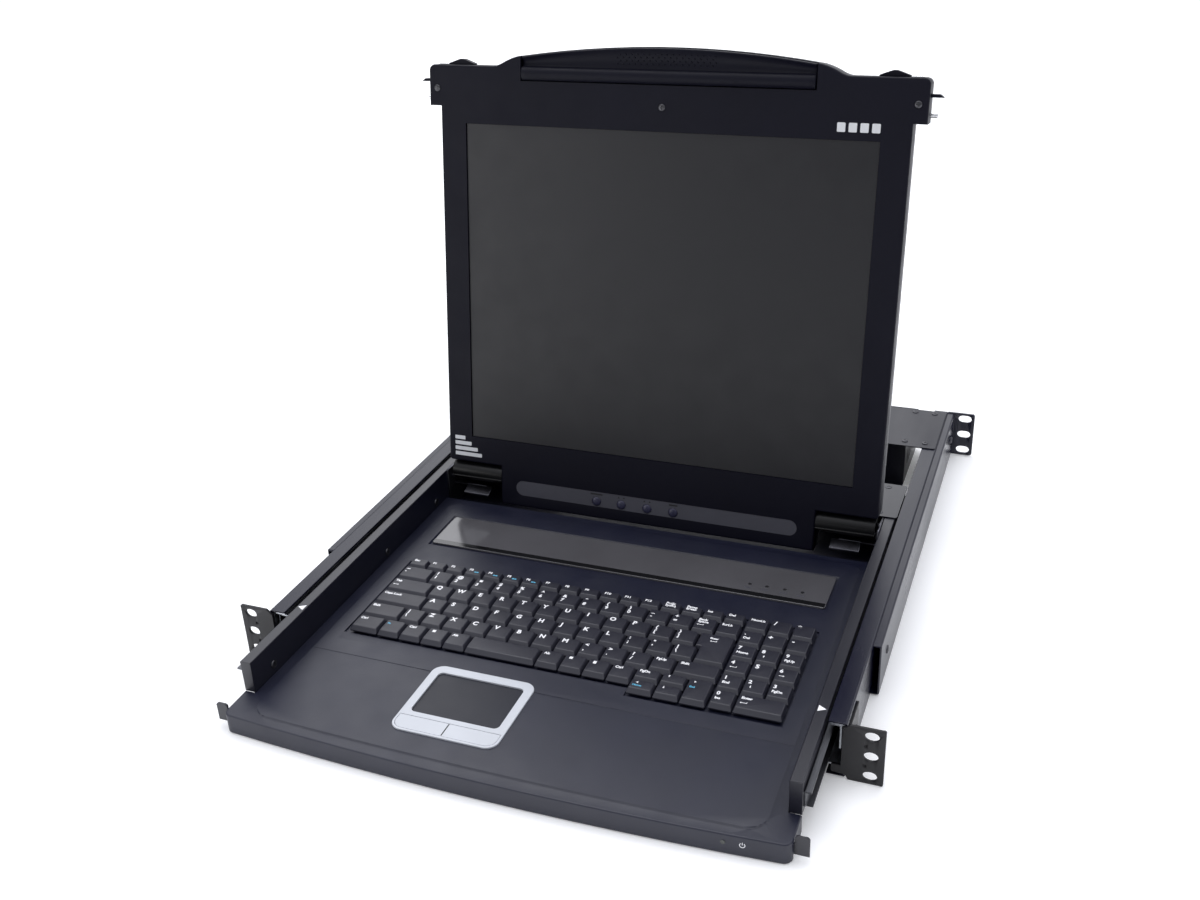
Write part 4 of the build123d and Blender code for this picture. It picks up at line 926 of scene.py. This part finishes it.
CASE_TOP = low_high("switch_cover")[1].z
FRAME_HEADS = [
    (Vector((side * x, y, CASE_TOP)), (0, 0, 1), 2.7, 0.9)
    for side in (-1, 1) for x in (0.1876, 0.2055) for y in (0.411, 0.475)
] + [(Vector((0, y, CASE_TOP)), (0, 0, 1), 2.7, 0.9) for y in (0.411, 0.475)]
SIDE_HEAD_Z = FLOOR_Z + 0.0215
for side in (-1, 1):
    for x, y, radius, height in (
        (0.2181, 0.012, 3.0, 1.0), (0.2181, 0.026, 3.0, 1.0),
        (0.2225, 0.120, 3.2, 1.1), (0.2225, 0.470, 3.2, 1.1),
    ):
        FRAME_HEADS.append((Vector((side * x, y, SIDE_HEAD_Z)), (side, 0, 0), radius, height))
screws("frame_screw_heads", "frame", "frame_screws", FRAME_HEADS)

# ---- floor, light -----------------------------------------------------------------------------------
def make_stage():
    floor_mesh = bpy.data.meshes.new("floor")
    reach = 14.0
    low = FLOOR_Z - 0.0002
    corners = [(-reach, -reach, low), (reach, -reach, low), (reach, reach, low), (-reach, reach, low)]
    floor_mesh.from_pydata(corners, [], [(0, 1, 2, 3)])
    floor = bpy.data.objects.new("floor", floor_mesh)
    bpy.context.scene.collection.objects.link(floor)
    mat, tree, shader, coords = node_material("pale_floor")
    tex = noise(tree, coords, 3, 2)
    tone = ramp(tree, tex.outputs["Fac"], grey(0.93), grey(0.95))
    tree.links.new(tone.outputs["Color"], shader.inputs["Base Color"])
    shader.inputs["Roughness"].default_value = 0.9
    shader.inputs["Specular IOR Level"].default_value = 0.1
    shader.inputs["Emission Color"].default_value = (1, 1, 1, 1)
    shader.inputs["Emission Strength"].default_value = 0.15
    floor_mesh.materials.append(mat)
    make_world()
    for name, place, aim, size, power in (
        ("top_light", (-0.9, 0.6, 2.6), (0, 0.15, 0.1), 2.4, 26),
        ("left_light", (-2.1, -2.3, 0.5), (0, 0.2, 0.2), 1.4, 16),
        ("back_light", (-0.8, 2.6, 1.6), (0, 0.2, 0.1), 2.4, 16),
        ("right_light", (2.4, 0.2, 1.2), (0.1, 0.1, 0.0), 1.6, 4),
    ):
        data = bpy.data.lights.new(name, "AREA")
        data.size = size
        data.energy = power
        lamp = bpy.data.objects.new(name, data)
        lamp.location = place
        lamp.rotation_euler = (Vector(aim) - Vector(place)).to_track_quat("-Z", "Y").to_euler()
        bpy.context.scene.collection.objects.link(lamp)


def make_world():
    """White studio surroundings, brighter behind the object and overhead."""
    world = bpy.data.worlds.new("studio")
    world.use_nodes = True
    tree = world.node_tree
    back = next(n for n in tree.nodes if n.type == "BACKGROUND")
    back.inputs["Color"].default_value = (0.96, 0.98, 1.05, 1)
    coords = tree.nodes.new("ShaderNodeTexCoord")
    split = tree.nodes.new("ShaderNodeSeparateXYZ")
    tree.links.new(coords.outputs["Generated"], split.inputs["Vector"])
    total = tree.nodes.new("ShaderNodeMath")
    for slot, (axis, span) in enumerate((("Y", (-0.8, 0.6, 0.20, 0.62)), ("Z", (0.3, 1.0, 0.0, 1.1)))):
        part = tree.nodes.new("ShaderNodeMapRange")
        for socket, value in zip(("From Min", "From Max", "To Min", "To Max"), span):
            part.inputs[socket].default_value = value
        tree.links.new(split.outputs[axis], part.inputs["Value"])
        tree.links.new(part.outputs["Result"], total.inputs[slot])
    tree.links.new(total.outputs["Value"], back.inputs["Strength"])
    bpy.context.scene.world = world


make_stage()
bpy.context.scene.view_settings.view_transform = "Standard"
bpy.context.scene.view_settings.look = "None"
